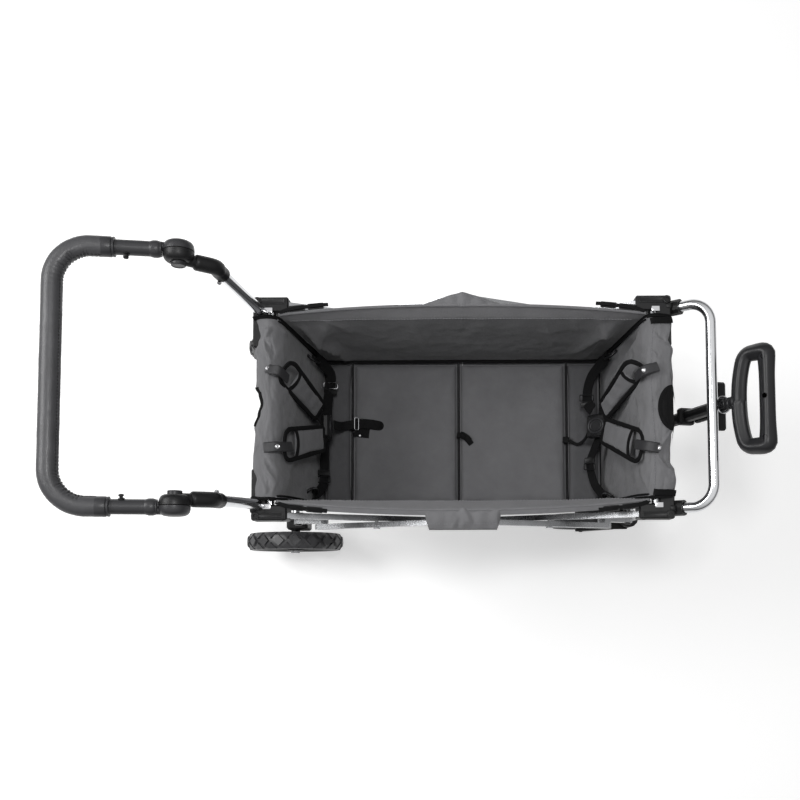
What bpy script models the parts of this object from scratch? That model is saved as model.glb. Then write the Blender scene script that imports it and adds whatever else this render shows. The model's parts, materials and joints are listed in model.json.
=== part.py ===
"""Folding stroller wagon: a basket on two end frames that a double scissor on each side draws together.

Metres, +Z up, +X towards the pull handle. Sizes below are given from the middle of the basket, on the
floor. At the end all pieces move by one step in X, so that the origin is under the middle of the wagon.
"""

import math

import bmesh
import bpy
from mathutils import Matrix, Vector

# Clearances and facets
GAP = 0.0003
PIN_CLEARANCE = 0.0004
SIDES = 12
TUBE_SIDES = 12
PIN_SIDES = 10
WHEEL_SIDES = 24
EYE_STEPS = 5

# End frames: posts and the rails between them
POST_X = 0.430
POST_Y = 0.207
POST_RADIUS = 0.011
RAIL_RADIUS = 0.009
TOP_RAIL_X = 0.408
TOP_RAIL_Z = 0.652
LOWER_RAIL_Z = 0.226
GUSSET_Y = 0.120
GUSSET_THICKNESS = 0.010
REAR_POST_FOOT_Z = 0.140
FRONT_POST_FOOT_Z = 0.2005
REAR_POST_BEND_Z = 0.680
REAR_POST_TOP = (-0.457, 0.2165, 0.885)
POST_BEND_RADIUS = 0.080

# Side scissors
PIVOT_X = 0.385
PIVOT_Z = 0.640
BAR_DROP = 0.196
BAR_HEIGHT = 0.022
BAR_THICKNESS = 0.012
BAR_Y = 0.2215
BAR_STEP = 0.0145
PIN_RADIUS = 0.004
PIN_HEAD_RADIUS = 0.008
PIN_HEAD = 0.0025
LAP_GAP = 0.0006
LAP_REACH = 0.028
JOGGLE_AT = 0.060
JOGGLE_LENGTH = 0.024

# Corner brackets
BRACKET_X = 0.4463
BRACKET_Y = 0.2394
BRACKET_LOW_Z = 0.615
BRACKET_HIGH_Z = 0.665
BRACKET_ARM_END_X = 0.371
BRACKET_INNER_Y = 0.190
CHEEK_INNER_Y = 0.2065
CHEEK_GAP = 0.0006
SLOT_ROOF = 0.008
SLOT_BACK = 0.0135
Y_ARM_END = 0.130
Y_ARM_WIDTH = 0.0238
Y_ARM_HEIGHT = 0.022
BRACKET_BEVEL = 0.003
BRACKET_BOLT_IN = 0.0095
BRACKET_BOLT_RADIUS = 0.006

# Sleeves that slide on the posts
SLEEVE_HEIGHT = 0.040
SLEEVE_WALL = 0.005
EAR_HEIGHT = 0.026
EAR_REACH = 0.013
EAR_GAP = 0.001

# Basket
RIM_Z = 0.665
FLOOR_Z = 0.2948
RIM_HALF_WIDTH = 0.219
RIM_HALF_LENGTH = 0.396
FLOOR_HALF_WIDTH = 0.1865
FLOOR_HALF_LENGTH = 0.347
FABRIC_THICKNESS = 0.004
END_WALL_RIM_HALF_WIDTH = 0.186
END_WALL_FOOT_HALF_WIDTH = 0.176
ROLL_WALL = 0.004
COVER_HALF_LENGTH = 0.078
COVER_OUTER_Y = 0.262
COVER_DROP = 0.050
COVER_ROOF_Z = 0.6565
COVER_THICKNESS = 0.004

# Floor
SEAM_X = 0.267
SHELF_THICKNESS = 0.007
SHELF_IN = 0.002
BOARD_THICKNESS = 0.005
BOARD_INNER_X = 0.018
BOARD_OUT = 0.002
BARREL_RADIUS = 0.0045
BARREL_LENGTH = 0.040
BARREL_CLEARANCE = 0.002
PAD_HEIGHT = 0.022
PAD_HALF_WIDTH = 0.172
PAD_SEAM_GAP = 0.0015
END_PAD_START = 0.003

# Rear axle, wheels and brake
AXLE_X = 0.4495
AXLE_RADIUS = 0.006
REAR_WHEEL_RADIUS = 0.127
REAR_WHEEL_WIDTH = 0.045
REAR_WHEEL_Y = 0.2617
REAR_TYRE_DEPTH = 0.024
HUB_RADIUS = 0.022
SPOKES = 5
AXLE_BLOCK_LENGTH = 0.056
AXLE_BLOCK_HEIGHT = 0.074
AXLE_BLOCK_WIDTH = 0.040
BRAKE_X = 0.4625
BRAKE_Z = 0.152
BRAKE_BAR_RADIUS = 0.0055
BRAKE_SOCKET = 0.010
PEDAL_LENGTH = 0.070
PEDAL_WIDTH = 0.110
PEDAL_THICKNESS = 0.008

# Casters
CASTER_RADIUS = 0.085
CASTER_WIDTH = 0.036
CASTER_TRAIL = 0.110
CASTER_AXLE_RADIUS = 0.005
FORK_ARM_THICKNESS = 0.006
FORK_SIDE_GAP = 0.003
FORK_ARM_WIDTH = 0.030
FORK_TOP_Z = 0.186
FORK_PLATE = 0.010
STEM_RADIUS = 0.006
STEM_TOP_Z = 0.1985
HOUSING_RADIUS = 0.024
HOUSING_TOP_Z = 0.216

# Push handle
ELBOW_X = 0.515
ELBOW_Z = 0.957
ELBOW_RADIUS = 0.024
ELBOW_SPLIT_Y = 0.232
ELBOW_HALF = 0.017
SOCKET_RADIUS = 0.0155
SOCKET_REACH = 0.024
HANDLE_TUBE_RADIUS = 0.013
HANDLE_TUBE_Y = 0.2345
GRIP_X = 0.7285
GRIP_Z = 0.992
GRIP_RADIUS = 0.020
GRIP_BEND_RADIUS = 0.066
COLLAR_X = 0.631
COLLAR_LENGTH = 0.028
COLLAR_RADIUS = 0.0215
ELBOW_BUTTON_RADIUS = 0.010
ELBOW_BUTTON_DEPTH = 0.010
ELBOW_BUTTON_PROUD = 0.007

# Front hoop
HOOP_X = 0.520
HOOP_Z = 0.700
HOOP_Y = 0.216
HOOP_RADIUS = 0.012
HOOP_BEND_RADIUS = 0.045
HOOP_FOOT_X = 0.4500
HOOP_LUG = 0.018

# Pull handle
PULL_PIVOT_X = 0.458
PULL_PIVOT_Z = 0.385
PULL_LEAN = math.radians(17.5)
PULL_TUBE_RADIUS = 0.014
PULL_INNER_RADIUS = 0.0105
PULL_TUBE_LENGTH = 0.292
PULL_PIN_RADIUS = 0.005
CHEEK_THICKNESS = 0.006
PULL_RAIL_Z = 0.360
PULL_RAIL_HALF_WIDTH = 0.090
PULL_RAIL_BEND = 0.025
FLANGE_WIDTH = 0.104
FLANGE_LENGTH = 0.014
FLANGE_DEPTH = 0.034
CLIP_FROM = 0.165
CLIP_LENGTH = 0.070
CLIP_HINGE_OUT = 0.0195
NECK_STAND = 0.021
NECK_RADIUS = 0.0155
GRIP_TILT = math.radians(48)
PULL_GRIP_LENGTH = 0.098
PULL_GRIP_WIDTH = 0.219
PULL_GRIP_THICKNESS = 0.030
PULL_GRIP_CORNER = 0.026
HAND_HOLE_WIDTH = 0.158
HAND_HOLE_FROM = 0.040
HAND_HOLE_LENGTH = 0.028

# Harness
STRAP_THICKNESS = 0.003
STRAP_WIDTH = 0.022
SHOULDER_TOP_Y = 0.090
SHOULDER_TOP_Z = 0.600
SHOULDER_FOOT_Y = 0.030
SHOULDER_PAD_WIDTH = 0.036
SHOULDER_PAD_HEIGHT = 0.013
PAD_OFF_WALL = 0.0016
WAIST_Y = 0.158
WAIST_Z = 0.400
BUCKLE_OFF_WALL = 0.0235
BUCKLE_Z = 0.415
BUCKLE_DEPTH = 0.018
BUCKLE_WIDTH = 0.056
BUCKLE_HEIGHT = 0.060
BUCKLE_TILT = {"rear": 0.0, "front": math.radians(45)}
YOKE_WING = 0.012
YOKE_RISE = 0.015
BUTTON_DEPTH = 0.005
BUTTON_WIDTH = 0.022
BUTTON_HEIGHT = 0.028
BUTTON_PROUD = 0.0025

# Rounded edges, and how far pieces and cutters pass a face
BUTTON_EDGE = 0.001
SOFT_EDGE = 0.0015
FINE_EDGE = 0.002
BLOCK_EDGE = 0.003
FLANGE_EDGE = 0.004
AXLE_BLOCK_EDGE = 0.005
OVERCUT = 0.01
HOLE_OVERCUT = 0.002
HEAD_PROUD = 0.002
PIN_PROUD = 0.001
PIN_SUNK = 0.003
BOSS_LAP = 0.001
BARREL_LAP = 0.01

# Small shapes of the wheels, the clevis and the pull handle
RIM_LIP = 0.008
RIM_STEP = 0.002
SPOKE_HALF_WIDTH = 0.009
SPOKE_SHORT = 0.004
AXLE_PROUD = 0.003
AXLE_CAP_IN = 0.0026
AXLE_CAP_OUT = 0.004
AXLE_BLOCK_OUT = 0.003
RIB_DEPTH = 0.002
ELBOW_AIM = 0.022
ELBOW_BEND = 0.02
CLEVIS_RADIUS = 0.012
CLEVIS_ROOM = 0.0015
PULL_COLLAR_HALF = 0.019
PULL_COLLAR_LENGTH = 0.02
PULL_BORE_FROM = 0.004
PULL_PIN_HALF = 0.03
CLIP_HALF_WIDTH = 0.016
CLIP_DEPTH = 0.012
INNER_TUBE_FROM = 0.006
NECK_LENGTH = 0.012
STALK_FROM = 0.004
STALK_TO = 0.022
GRIP_FOOT = 0.012

# The two ends and the two sides, as signs
ENDS = {"rear": -1, "front": 1}
HANDS = {"left": 1, "right": -1}

# Heights and lengths that follow
NECK_FROM = PULL_TUBE_LENGTH + NECK_STAND
BUCKLE_X = FLOOR_HALF_LENGTH - BUCKLE_OFF_WALL
SHELF_HALF_WIDTH = PAD_HALF_WIDTH - SHELF_IN
BOARD_HALF_WIDTH = PAD_HALF_WIDTH + BOARD_OUT
SLIDER_Z = PIVOT_Z - BAR_DROP
CROSSING_Z = PIVOT_Z - BAR_DROP / 2
OUTER_BAR_Y = BAR_Y + BAR_STEP
SHELF_TOP_Z = FLOOR_Z - GAP
BOARD_Z = SHELF_TOP_Z - SHELF_THICKNESS / 2
ARM_SHARE = 1 - (BRACKET_ARM_END_X / RIM_HALF_LENGTH) ** 2
RIM_CORNER_HALF_WIDTH = (
    CHEEK_INNER_Y - FABRIC_THICKNESS / 2 - GAP - RIM_HALF_WIDTH * ARM_SHARE
) / (1 - ARM_SHARE)
WALL_RUN = TOP_RAIL_X - 0.003 - FLOOR_HALF_LENGTH

COLOURS = {
    "aluminium": ((0.62, 0.63, 0.64), 0.28, 1.0),
    "black_plastic": ((0.02, 0.02, 0.022), 0.45, 0.0),
    "grey_fabric": ((0.085, 0.087, 0.09), 0.9, 0.0),
    "rubber": ((0.03, 0.03, 0.032), 0.7, 0.0),
    "leather": ((0.06, 0.062, 0.066), 0.5, 0.0),
    "steel": ((0.45, 0.45, 0.46), 0.35, 1.0),
    "webbing": ((0.015, 0.015, 0.016), 0.85, 0.0),
}

parts = bpy.data.collections.new("stroller_wagon")
made = []


def start_clean():
    """Empties the file and links the collection that holds the wagon."""
    for obj in list(bpy.data.objects):
        bpy.data.objects.remove(obj, do_unlink=True)
    bpy.context.scene.collection.children.link(parts)


def material(name):
    """The named material, made on first use."""
    found = bpy.data.materials.get(name)
    if found:
        return found
    colour, roughness, metallic = COLOURS[name]
    new = bpy.data.materials.new(name)
    new.use_nodes = True
    shader = new.node_tree.nodes["Principled BSDF"]
    shader.inputs["Base Color"].default_value = (*colour, 1.0)
    shader.inputs["Roughness"].default_value = roughness
    shader.inputs["Metallic"].default_value = metallic
    return new


def from_bmesh(bm):
    """An object that holds a bmesh, linked to the wagon."""
    mesh = bpy.data.meshes.new("shape")
    bm.to_mesh(mesh)
    bm.free()
    obj = bpy.data.objects.new("shape", mesh)
    parts.objects.link(obj)
    return obj


def evaluated(obj):
    """A plain mesh object, in world coordinates, of obj with its modifiers; obj is removed."""
    graph = bpy.context.evaluated_depsgraph_get()
    mesh = bpy.data.meshes.new_from_object(obj.evaluated_get(graph))
    mesh.transform(obj.matrix_world)
    bm = bmesh.new()
    bm.from_mesh(mesh)
    bmesh.ops.remove_doubles(bm, verts=bm.verts, dist=1e-6)
    bm.to_mesh(mesh)
    bm.free()
    plain = bpy.data.objects.new("shape", mesh)
    parts.objects.link(plain)
    bpy.data.objects.remove(obj, do_unlink=True)
    return plain


def combined(base, tools, operation):
    """base after one Boolean with each tool in turn; the tools are removed."""
    for tool in tools:
        step = base.modifiers.new(operation.lower(), "BOOLEAN")
        step.operation = operation
        step.object = tool
        step.solver = "EXACT"
    bpy.context.view_layer.update()
    result = evaluated(base)
    for tool in tools:
        bpy.data.objects.remove(tool, do_unlink=True)
    return result


def joined(base, *tools):
    """base with each tool added to it."""
    return combined(base, tools, "UNION")


def cut(base, *tools):
    """base with each tool taken out of it."""
    return combined(base, tools, "DIFFERENCE")


def bevelled(obj, width, segments=1, angle=40):
    """obj with its sharp edges rounded."""
    step = obj.modifiers.new("bevel", "BEVEL")
    step.width = width
    step.segments = segments
    step.limit_method = "ANGLE"
    step.angle_limit = math.radians(angle)
    bpy.context.view_layer.update()
    return evaluated(obj)


def block(low, high, bevel=0.0):
    """A box between two corners, given in any order."""
    low, high = Vector(low), Vector(high)
    size = Vector([abs(high[k] - low[k]) for k in range(3)])
    bm = bmesh.new()
    bmesh.ops.create_cube(bm, size=1.0)
    bmesh.ops.scale(bm, vec=size, verts=bm.verts)
    bmesh.ops.translate(bm, vec=(low + high) / 2, verts=bm.verts)
    obj = from_bmesh(bm)
    return bevelled(obj, bevel) if bevel else obj


def rod(start, end, radius, sides=SIDES, end_radius=None):
    """A cylinder, or a cone where end_radius is given, between two points."""
    start, end = Vector(start), Vector(end)
    bm = bmesh.new()
    bmesh.ops.create_cone(
        bm,
        cap_ends=True,
        segments=sides,
        radius1=radius,
        radius2=radius if end_radius is None else end_radius,
        depth=(end - start).length,
    )
    turn = (end - start).to_track_quat("Z", "Y").to_matrix().to_4x4()
    bmesh.ops.transform(bm, matrix=Matrix.Translation((start + end) / 2) @ turn, verts=bm.verts)
    return from_bmesh(bm)


def rounded(points, radius, steps=5):
    """The points of a bent tube's centre line, with an arc at each inner corner."""
    points = [Vector(p) for p in points]
    route = [points[0]]
    for before, corner, after in zip(points, points[1:], points[2:]):
        back, on = (before - corner).normalized(), (after - corner).normalized()
        half = back.angle(on) / 2
        reach = radius / math.tan(half)
        centre = corner + (back + on).normalized() * (radius / math.sin(half))
        first, last = corner + back * reach, corner + on * reach
        for k in range(steps + 1):
            spoke = (first - centre).slerp(last - centre, k / steps)
            route.append(centre + spoke.normalized() * radius)
    route.append(points[-1])
    return route


def tube(route, radius, sides=TUBE_SIDES):
    """A round tube along a list of points, as a solid."""
    curve = bpy.data.curves.new("route", "CURVE")
    curve.dimensions = "3D"
    curve.bevel_depth = radius
    curve.bevel_resolution = (sides - 4) // 2
    curve.use_fill_caps = True
    spline = curve.splines.new("POLY")
    spline.points.add(len(route) - 1)
    for point, place in zip(spline.points, route):
        point.co = (*place, 1.0)
    obj = bpy.data.objects.new("route", curve)
    parts.objects.link(obj)
    bpy.context.view_layer.update()
    return evaluated(obj)


def flat(outlines, thickness, matrix):
    """A plate from closed outlines in its own XY plane; the second and later outlines are holes."""
    curve = bpy.data.curves.new("outline", "CURVE")
    curve.dimensions = "2D"
    curve.fill_mode = "BOTH"
    curve.extrude = thickness / 2
    for outline in outlines:
        spline = curve.splines.new("POLY")
        spline.points.add(len(outline) - 1)
        for point, (x, y) in zip(spline.points, outline):
            point.co = (x, y, 0.0, 1.0)
        spline.use_cyclic_u = True
    obj = bpy.data.objects.new("outline", curve)
    obj.matrix_world = matrix
    parts.objects.link(obj)
    bpy.context.view_layer.update()
    return evaluated(obj)


def upright(y_low, y_high):
    """The matrix that stands a plate's outline (x, y) up as (x, z) between two heights in Y."""
    return Matrix.Translation((0, (y_low + y_high) / 2, 0)) @ Matrix.Rotation(math.pi / 2, 4, "X")


def slot_shape(start, end, radius, steps=EYE_STEPS):
    """The outline of a bar with round ends, from one eye's centre to the other's."""
    (x0, y0), (x1, y1) = start, end
    heading = math.atan2(y1 - y0, x1 - x0)
    points = []
    for x, y, first in ((x1, y1, heading - math.pi / 2), (x0, y0, heading + math.pi / 2)):
        for k in range(steps + 1):
            angle = first + math.pi * k / steps
            points.append((x + radius * math.cos(angle), y + radius * math.sin(angle)))
    return points


def turned(profile, centre, axis="Y", steps=WHEEL_SIDES):
    """A solid of revolution: profile is (radius, height) pairs down its outer side, closed by the tool."""
    bm = bmesh.new()
    verts = [bm.verts.new((r, 0.0, h)) for r, h in profile]
    closed = all(r > 0 for r, _ in profile)
    for a, b in zip(verts, verts[1:]):
        bm.edges.new((a, b))
    if closed:
        bm.edges.new((verts[-1], verts[0]))
    obj = from_bmesh(bm)
    step = obj.modifiers.new("screw", "SCREW")
    step.steps = steps
    step.render_steps = steps
    step.use_merge_vertices = True
    step.merge_threshold = 0.00001
    turn = {"Z": Matrix(), "Y": Matrix.Rotation(-math.pi / 2, 4, "X")}[axis]
    obj.matrix_world = Matrix.Translation(centre) @ turn
    bpy.context.view_layer.update()
    return evaluated(obj)


def cushion(low, high, matrix=None, cuts=5):
    """A stuffed pad with a crowned top and drawn-in sides, filling the box between two corners."""
    low, high = Vector(low), Vector(high)
    size, middle = high - low, (high + low) / 2
    bm = bmesh.new()
    bmesh.ops.create_cube(bm, size=2.0)
    bmesh.ops.subdivide_edges(bm, edges=bm.edges, cuts=cuts, use_grid_fill=True)
    for vert in bm.verts:
        u, v, w = vert.co
        edge = max(abs(u), abs(v))
        top = 1.0 - 0.55 * edge**6
        draw = 1.0 - 0.06 * max(0.0, w) ** 2 * edge**4
        height = (w + 1) / 2 * top
        shift = Vector((u * draw * size.x / 2, v * draw * size.y / 2, height * size.z - size.z / 2))
        vert.co = middle + shift
    if matrix:
        bmesh.ops.transform(bm, matrix=matrix, verts=bm.verts)
    return from_bmesh(bm)


def facing(start, end, normal):
    """A frame whose X runs from start to end and whose Z is as near normal as can be."""
    x = (Vector(end) - Vector(start)).normalized()
    z = Vector(normal)
    z = (z - x * z.dot(x)).normalized()
    y = z.cross(x)
    turn = Matrix((x, y, z)).transposed().to_4x4()
    return Matrix.Translation(start) @ turn


def strip(start, end, width, thickness, normal):
    """A flat strap between two points, lying on its own plane."""
    length = (Vector(end) - Vector(start)).length
    obj = block((0, -width / 2, 0), (length, width / 2, thickness))
    obj.data.transform(facing(start, end, normal))
    return obj


def keep(name, obj, finish, origin=(0.0, 0.0, 0.0)):
    """Names a finished piece, colours it, shades it and puts its origin on its joint's axis."""
    obj.data.transform(Matrix.Translation(-Vector(origin)))
    obj.location = origin
    obj.name = name
    obj.data.name = name
    obj.data.materials.clear()
    obj.data.materials.append(material(finish))
    obj.data.shade_smooth()
    obj.data.set_sharp_from_angle(angle=math.radians(35))
    made.append(obj)
    return obj


def side(s, x, y, z):
    """A point with its Y on one side of the wagon."""
    return Vector((x, s * y, z))


def rear_post_route(s):
    """The path of a rear post, from its foot to its bent top."""
    top = REAR_POST_TOP
    points = [
        side(s, -POST_X, POST_Y, REAR_POST_FOOT_Z),
        side(s, -POST_X, POST_Y, REAR_POST_BEND_Z),
        side(s, *top),
    ]
    return rounded(points, POST_BEND_RADIUS, 3)


def wall_x(z):
    """How far the middle of an end wall's fabric is from the basket's middle at a height."""
    return FLOOR_HALF_LENGTH + WALL_RUN * (z - FLOOR_Z) / (TOP_RAIL_Z - FLOOR_Z)


def end_rails(e, radius_more=0.0):
    """The rail inside the rolled rim, with its two stubs into the posts."""
    r = RAIL_RADIUS + radius_more
    rail = rod((e * TOP_RAIL_X, -POST_Y, TOP_RAIL_Z), (e * TOP_RAIL_X, POST_Y, TOP_RAIL_Z), r)
    stubs = [
        rod(side(s, e * TOP_RAIL_X, POST_Y, TOP_RAIL_Z), side(s, e * POST_X, POST_Y, TOP_RAIL_Z), r)
        for s in HANDS.values()
    ]
    return [rail, *stubs]


def pull_rail_route():
    """The bowed rail that stands on the lower rail between the posts and carries the pull handle."""
    points = [
        Vector((POST_X, -PULL_RAIL_HALF_WIDTH, LOWER_RAIL_Z)),
        Vector((POST_X, -PULL_RAIL_HALF_WIDTH, PULL_RAIL_Z)),
        Vector((POST_X, PULL_RAIL_HALF_WIDTH, PULL_RAIL_Z)),
        Vector((POST_X, PULL_RAIL_HALF_WIDTH, LOWER_RAIL_Z)),
    ]
    return rounded(points, PULL_RAIL_BEND, 4)


def end_frame(end):
    """One welded frame: two posts, the top rail, the lower rail and the shelf that carries the floor."""
    e = ENDS[end]
    if end == "rear":
        posts = [tube(rear_post_route(s), POST_RADIUS) for s in HANDS.values()]
    else:
        posts = [
            rod(
                side(s, POST_X, POST_Y, FRONT_POST_FOOT_Z),
                side(s, POST_X, POST_Y, BRACKET_HIGH_Z - SLOT_ROOF),
                POST_RADIUS,
            )
            for s in HANDS.values()
        ]
    lower = rod((e * POST_X, -POST_Y, LOWER_RAIL_Z), (e * POST_X, POST_Y, LOWER_RAIL_Z), RAIL_RADIUS)
    shelf = block(
        (e * (POST_X + RAIL_RADIUS), -SHELF_HALF_WIDTH, SHELF_TOP_Z - SHELF_THICKNESS),
        (e * (SEAM_X + BARREL_RADIUS + BARREL_CLEARANCE), SHELF_HALF_WIDTH, SHELF_TOP_Z),
    )
    gussets = [
        block(
            (
                e * (POST_X + RAIL_RADIUS),
                s * GUSSET_Y - GUSSET_THICKNESS / 2,
                LOWER_RAIL_Z - RAIL_RADIUS / 2,
            ),
            (
                e * (POST_X - 3 * RAIL_RADIUS),
                s * GUSSET_Y + GUSSET_THICKNESS / 2,
                SHELF_TOP_Z - SHELF_THICKNESS / 2,
            ),
        )
        for s in HANDS.values()
    ]
    barrel = rod((e * SEAM_X, -BARREL_LENGTH, BOARD_Z), (e * SEAM_X, BARREL_LENGTH, BOARD_Z), BARREL_RADIUS)
    tongue = block(
        (e * SEAM_X, -BARREL_LENGTH, BOARD_Z - BOARD_THICKNESS / 2),
        (e * (SEAM_X + 3 * BARREL_RADIUS), BARREL_LENGTH, BOARD_Z + BOARD_THICKNESS / 2),
    )
    pieces = [posts[1], *end_rails(e), lower, shelf, *gussets, barrel, tongue]
    if end == "front":
        pieces.append(tube(pull_rail_route(), RAIL_RADIUS))
    keep(f"{end}_end_frame", joined(posts[0], *pieces), "aluminium")


def corner_bracket(end, hand):
    """The moulded corner: it grips the post, forks round the upper eye of a long bar and reaches inwards."""
    e, s = ENDS[end], HANDS[hand]
    hub_x = POST_X - POST_RADIUS - SLEEVE_WALL
    hub = block(
        side(s, e * hub_x, BRACKET_INNER_Y, BRACKET_LOW_Z),
        side(s, e * BRACKET_X, BRACKET_Y, BRACKET_HIGH_Z),
        BRACKET_BEVEL,
    )
    arm = block(
        side(s, e * BRACKET_ARM_END_X, CHEEK_INNER_Y, BRACKET_LOW_Z),
        side(s, e * (hub_x + SLEEVE_WALL), BRACKET_Y, BRACKET_HIGH_Z),
        BRACKET_BEVEL,
    )
    inward = block(
        side(s, e * (BRACKET_X - Y_ARM_WIDTH), Y_ARM_END, BRACKET_HIGH_Z - Y_ARM_HEIGHT),
        side(s, e * BRACKET_X, BRACKET_INNER_Y + 2 * BRACKET_BEVEL, BRACKET_HIGH_Z),
        BRACKET_BEVEL,
    )
    slot = block(
        side(s, e * (BRACKET_ARM_END_X - SLEEVE_WALL), BAR_Y - CHEEK_GAP, BRACKET_LOW_Z - SLEEVE_WALL),
        side(s, e * (PIVOT_X + SLOT_BACK), BAR_Y + BAR_THICKNESS + CHEEK_GAP, BRACKET_HIGH_Z - SLOT_ROOF),
    )
    bolt_x, bolt_y = BRACKET_X - BRACKET_BOLT_IN, BRACKET_Y - BRACKET_BOLT_IN
    bolt = rod(
        side(s, e * bolt_x, bolt_y, BRACKET_HIGH_Z - PIN_HEAD),
        side(s, e * bolt_x, bolt_y, BRACKET_HIGH_Z + PIN_HEAD),
        BRACKET_BOLT_RADIUS,
        6,
    )
    pin = rod(
        side(s, e * PIVOT_X, CHEEK_INNER_Y + SLEEVE_WALL, PIVOT_Z),
        side(s, e * PIVOT_X, BRACKET_Y + PIN_PROUD, PIVOT_Z),
        PIN_RADIUS,
        PIN_SIDES,
    )
    if end == "rear":
        post = tube(rear_post_route(s), POST_RADIUS + GAP)
    else:
        foot = side(s, POST_X, POST_Y, BRACKET_LOW_Z - SLEEVE_WALL)
        post = rod(foot, side(s, POST_X, POST_Y, BRACKET_HIGH_Z - SLOT_ROOF + GAP), POST_RADIUS + GAP)
    solids, hollows = [arm, inward], [slot, post, *end_rails(e, GAP)]
    if end == "front":
        solids.append(hoop_lug(s))
        hollows.append(tube(hoop_route(GAP), HOOP_RADIUS + GAP))
    bracket = cut(joined(hub, *solids), *hollows)
    bracket = joined(bracket, pin, bolt)
    keep(f"{end}_bracket_{hand}", bracket, "black_plastic")


def hoop_route(deeper=0.0):
    """The centre line of the hoop, whose feet can reach a little deeper into the brackets."""
    foot_x = HOOP_FOOT_X - deeper
    points = [
        (foot_x, HOOP_Y, hoop_z(foot_x)),
        (HOOP_X, HOOP_Y, HOOP_Z),
        (HOOP_X, -HOOP_Y, HOOP_Z),
        (foot_x, -HOOP_Y, hoop_z(foot_x)),
    ]
    return rounded(points, HOOP_BEND_RADIUS)


def hoop_z(x):
    """The height of the hoop's legs, which leave the brackets at bracket height and rise to the front."""
    leg_z = (BRACKET_LOW_Z + BRACKET_HIGH_Z) / 2
    return leg_z + (HOOP_Z - leg_z) * (x - BRACKET_X) / (HOOP_X - BRACKET_X)


def hoop_lug(s):
    """The socket on a front bracket that takes one leg of the hoop."""
    x0, x1 = BRACKET_X - SLEEVE_WALL, HOOP_FOOT_X + HOOP_LUG
    start, end = side(s, x0, HOOP_Y, hoop_z(x0)), side(s, x1, HOOP_Y, hoop_z(x1))
    return rod(start, end, HOOP_RADIUS + SLEEVE_WALL)


def front_hoop():
    """The bent tube that joins both front brackets ahead of the basket."""
    keep("front_hoop", tube(hoop_route(), HOOP_RADIUS), "aluminium")


def point_on(start, end, distance):
    """The point that lies a distance along the line between two eyes."""
    (x0, z0), (x1, z1) = start, end
    length = math.hypot(x1 - x0, z1 - z0)
    return (x0 + (x1 - x0) * distance / length, z0 + (z1 - z0) * distance / length)


def bar_plate(s, start, end, y_low, y_high, height=BAR_HEIGHT):
    """A round-ended bar between two eyes, in a layer given by its distance from the middle."""
    low, high = sorted((s * y_low, s * y_high))
    return flat([slot_shape(start, end, height / 2)], high - low, upright(low, high))


def hole(s, at, y_low, y_high):
    """The cutter of a pin's clearance hole through a bar, across y."""
    x, z = at
    return rod(
        side(s, x, y_low - HOLE_OVERCUT, z),
        side(s, x, y_high + HOLE_OVERCUT, z),
        PIN_RADIUS + PIN_CLEARANCE,
        PIN_SIDES,
    )


def headed_pin(s, at, y_from, y_head):
    """A pin outwards from a bar's face, with its head beyond the bar that it carries."""
    x, z = at
    shank = rod(side(s, x, y_from, z), side(s, x, y_head + PIN_HEAD / 2, z), PIN_RADIUS, PIN_SIDES)
    head = rod(side(s, x, y_head, z), side(s, x, y_head + PIN_HEAD, z), PIN_HEAD_RADIUS, PIN_SIDES)
    return joined(shank, head)


def lapped_bar(s, far, near, y_low, outer_half):
    """A bar between two eyes that loses the inner or outer half of its thickness round the near one."""
    y_high = y_low + BAR_THICKNESS
    middle = (y_low + y_high) / 2
    beyond = point_on(near, far, -BAR_HEIGHT)
    shoulder = point_on(near, far, LAP_REACH - BAR_HEIGHT / 2)
    lost = (
        y_low - HOLE_OVERCUT,
        middle + LAP_GAP / 2,
    ) if outer_half else (middle - LAP_GAP / 2, y_high + HOLE_OVERCUT)
    return cut(
        bar_plate(s, far, near, y_low, y_high),
        bar_plate(s, beyond, shoulder, *lost, BAR_HEIGHT * 1.4),
    )


def long_bar(end, hand):
    """The bar from a corner bracket down to the hinge at the middle of the side."""
    e, s = ENDS[end], HANDS[hand]
    corner, middle = (e * PIVOT_X, PIVOT_Z), (0.0, SLIDER_Z)
    crossing = (e * PIVOT_X / 2, CROSSING_Z)
    face = BAR_Y + BAR_THICKNESS
    bar = lapped_bar(s, corner, middle, BAR_Y, outer_half=end == "front")
    bar = cut(bar, hole(s, corner, BAR_Y, face))
    bar = joined(
        bar,
        headed_pin(s, crossing, face - BAR_THICKNESS / 5, OUTER_BAR_Y + BAR_THICKNESS + CHEEK_GAP),
    )
    if end == "rear":
        bar = joined(bar, headed_pin(s, middle, BAR_Y + BAR_THICKNESS / 3, face + CHEEK_GAP))
    else:
        bar = cut(bar, hole(s, middle, BAR_Y, face))
    origin = side(s, *((corner[0], BAR_Y, corner[1]) if end == "rear" else (0.0, BAR_Y, SLIDER_Z)))
    keep(f"long_bar_{end}_{hand}", bar, "aluminium", origin)


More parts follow.
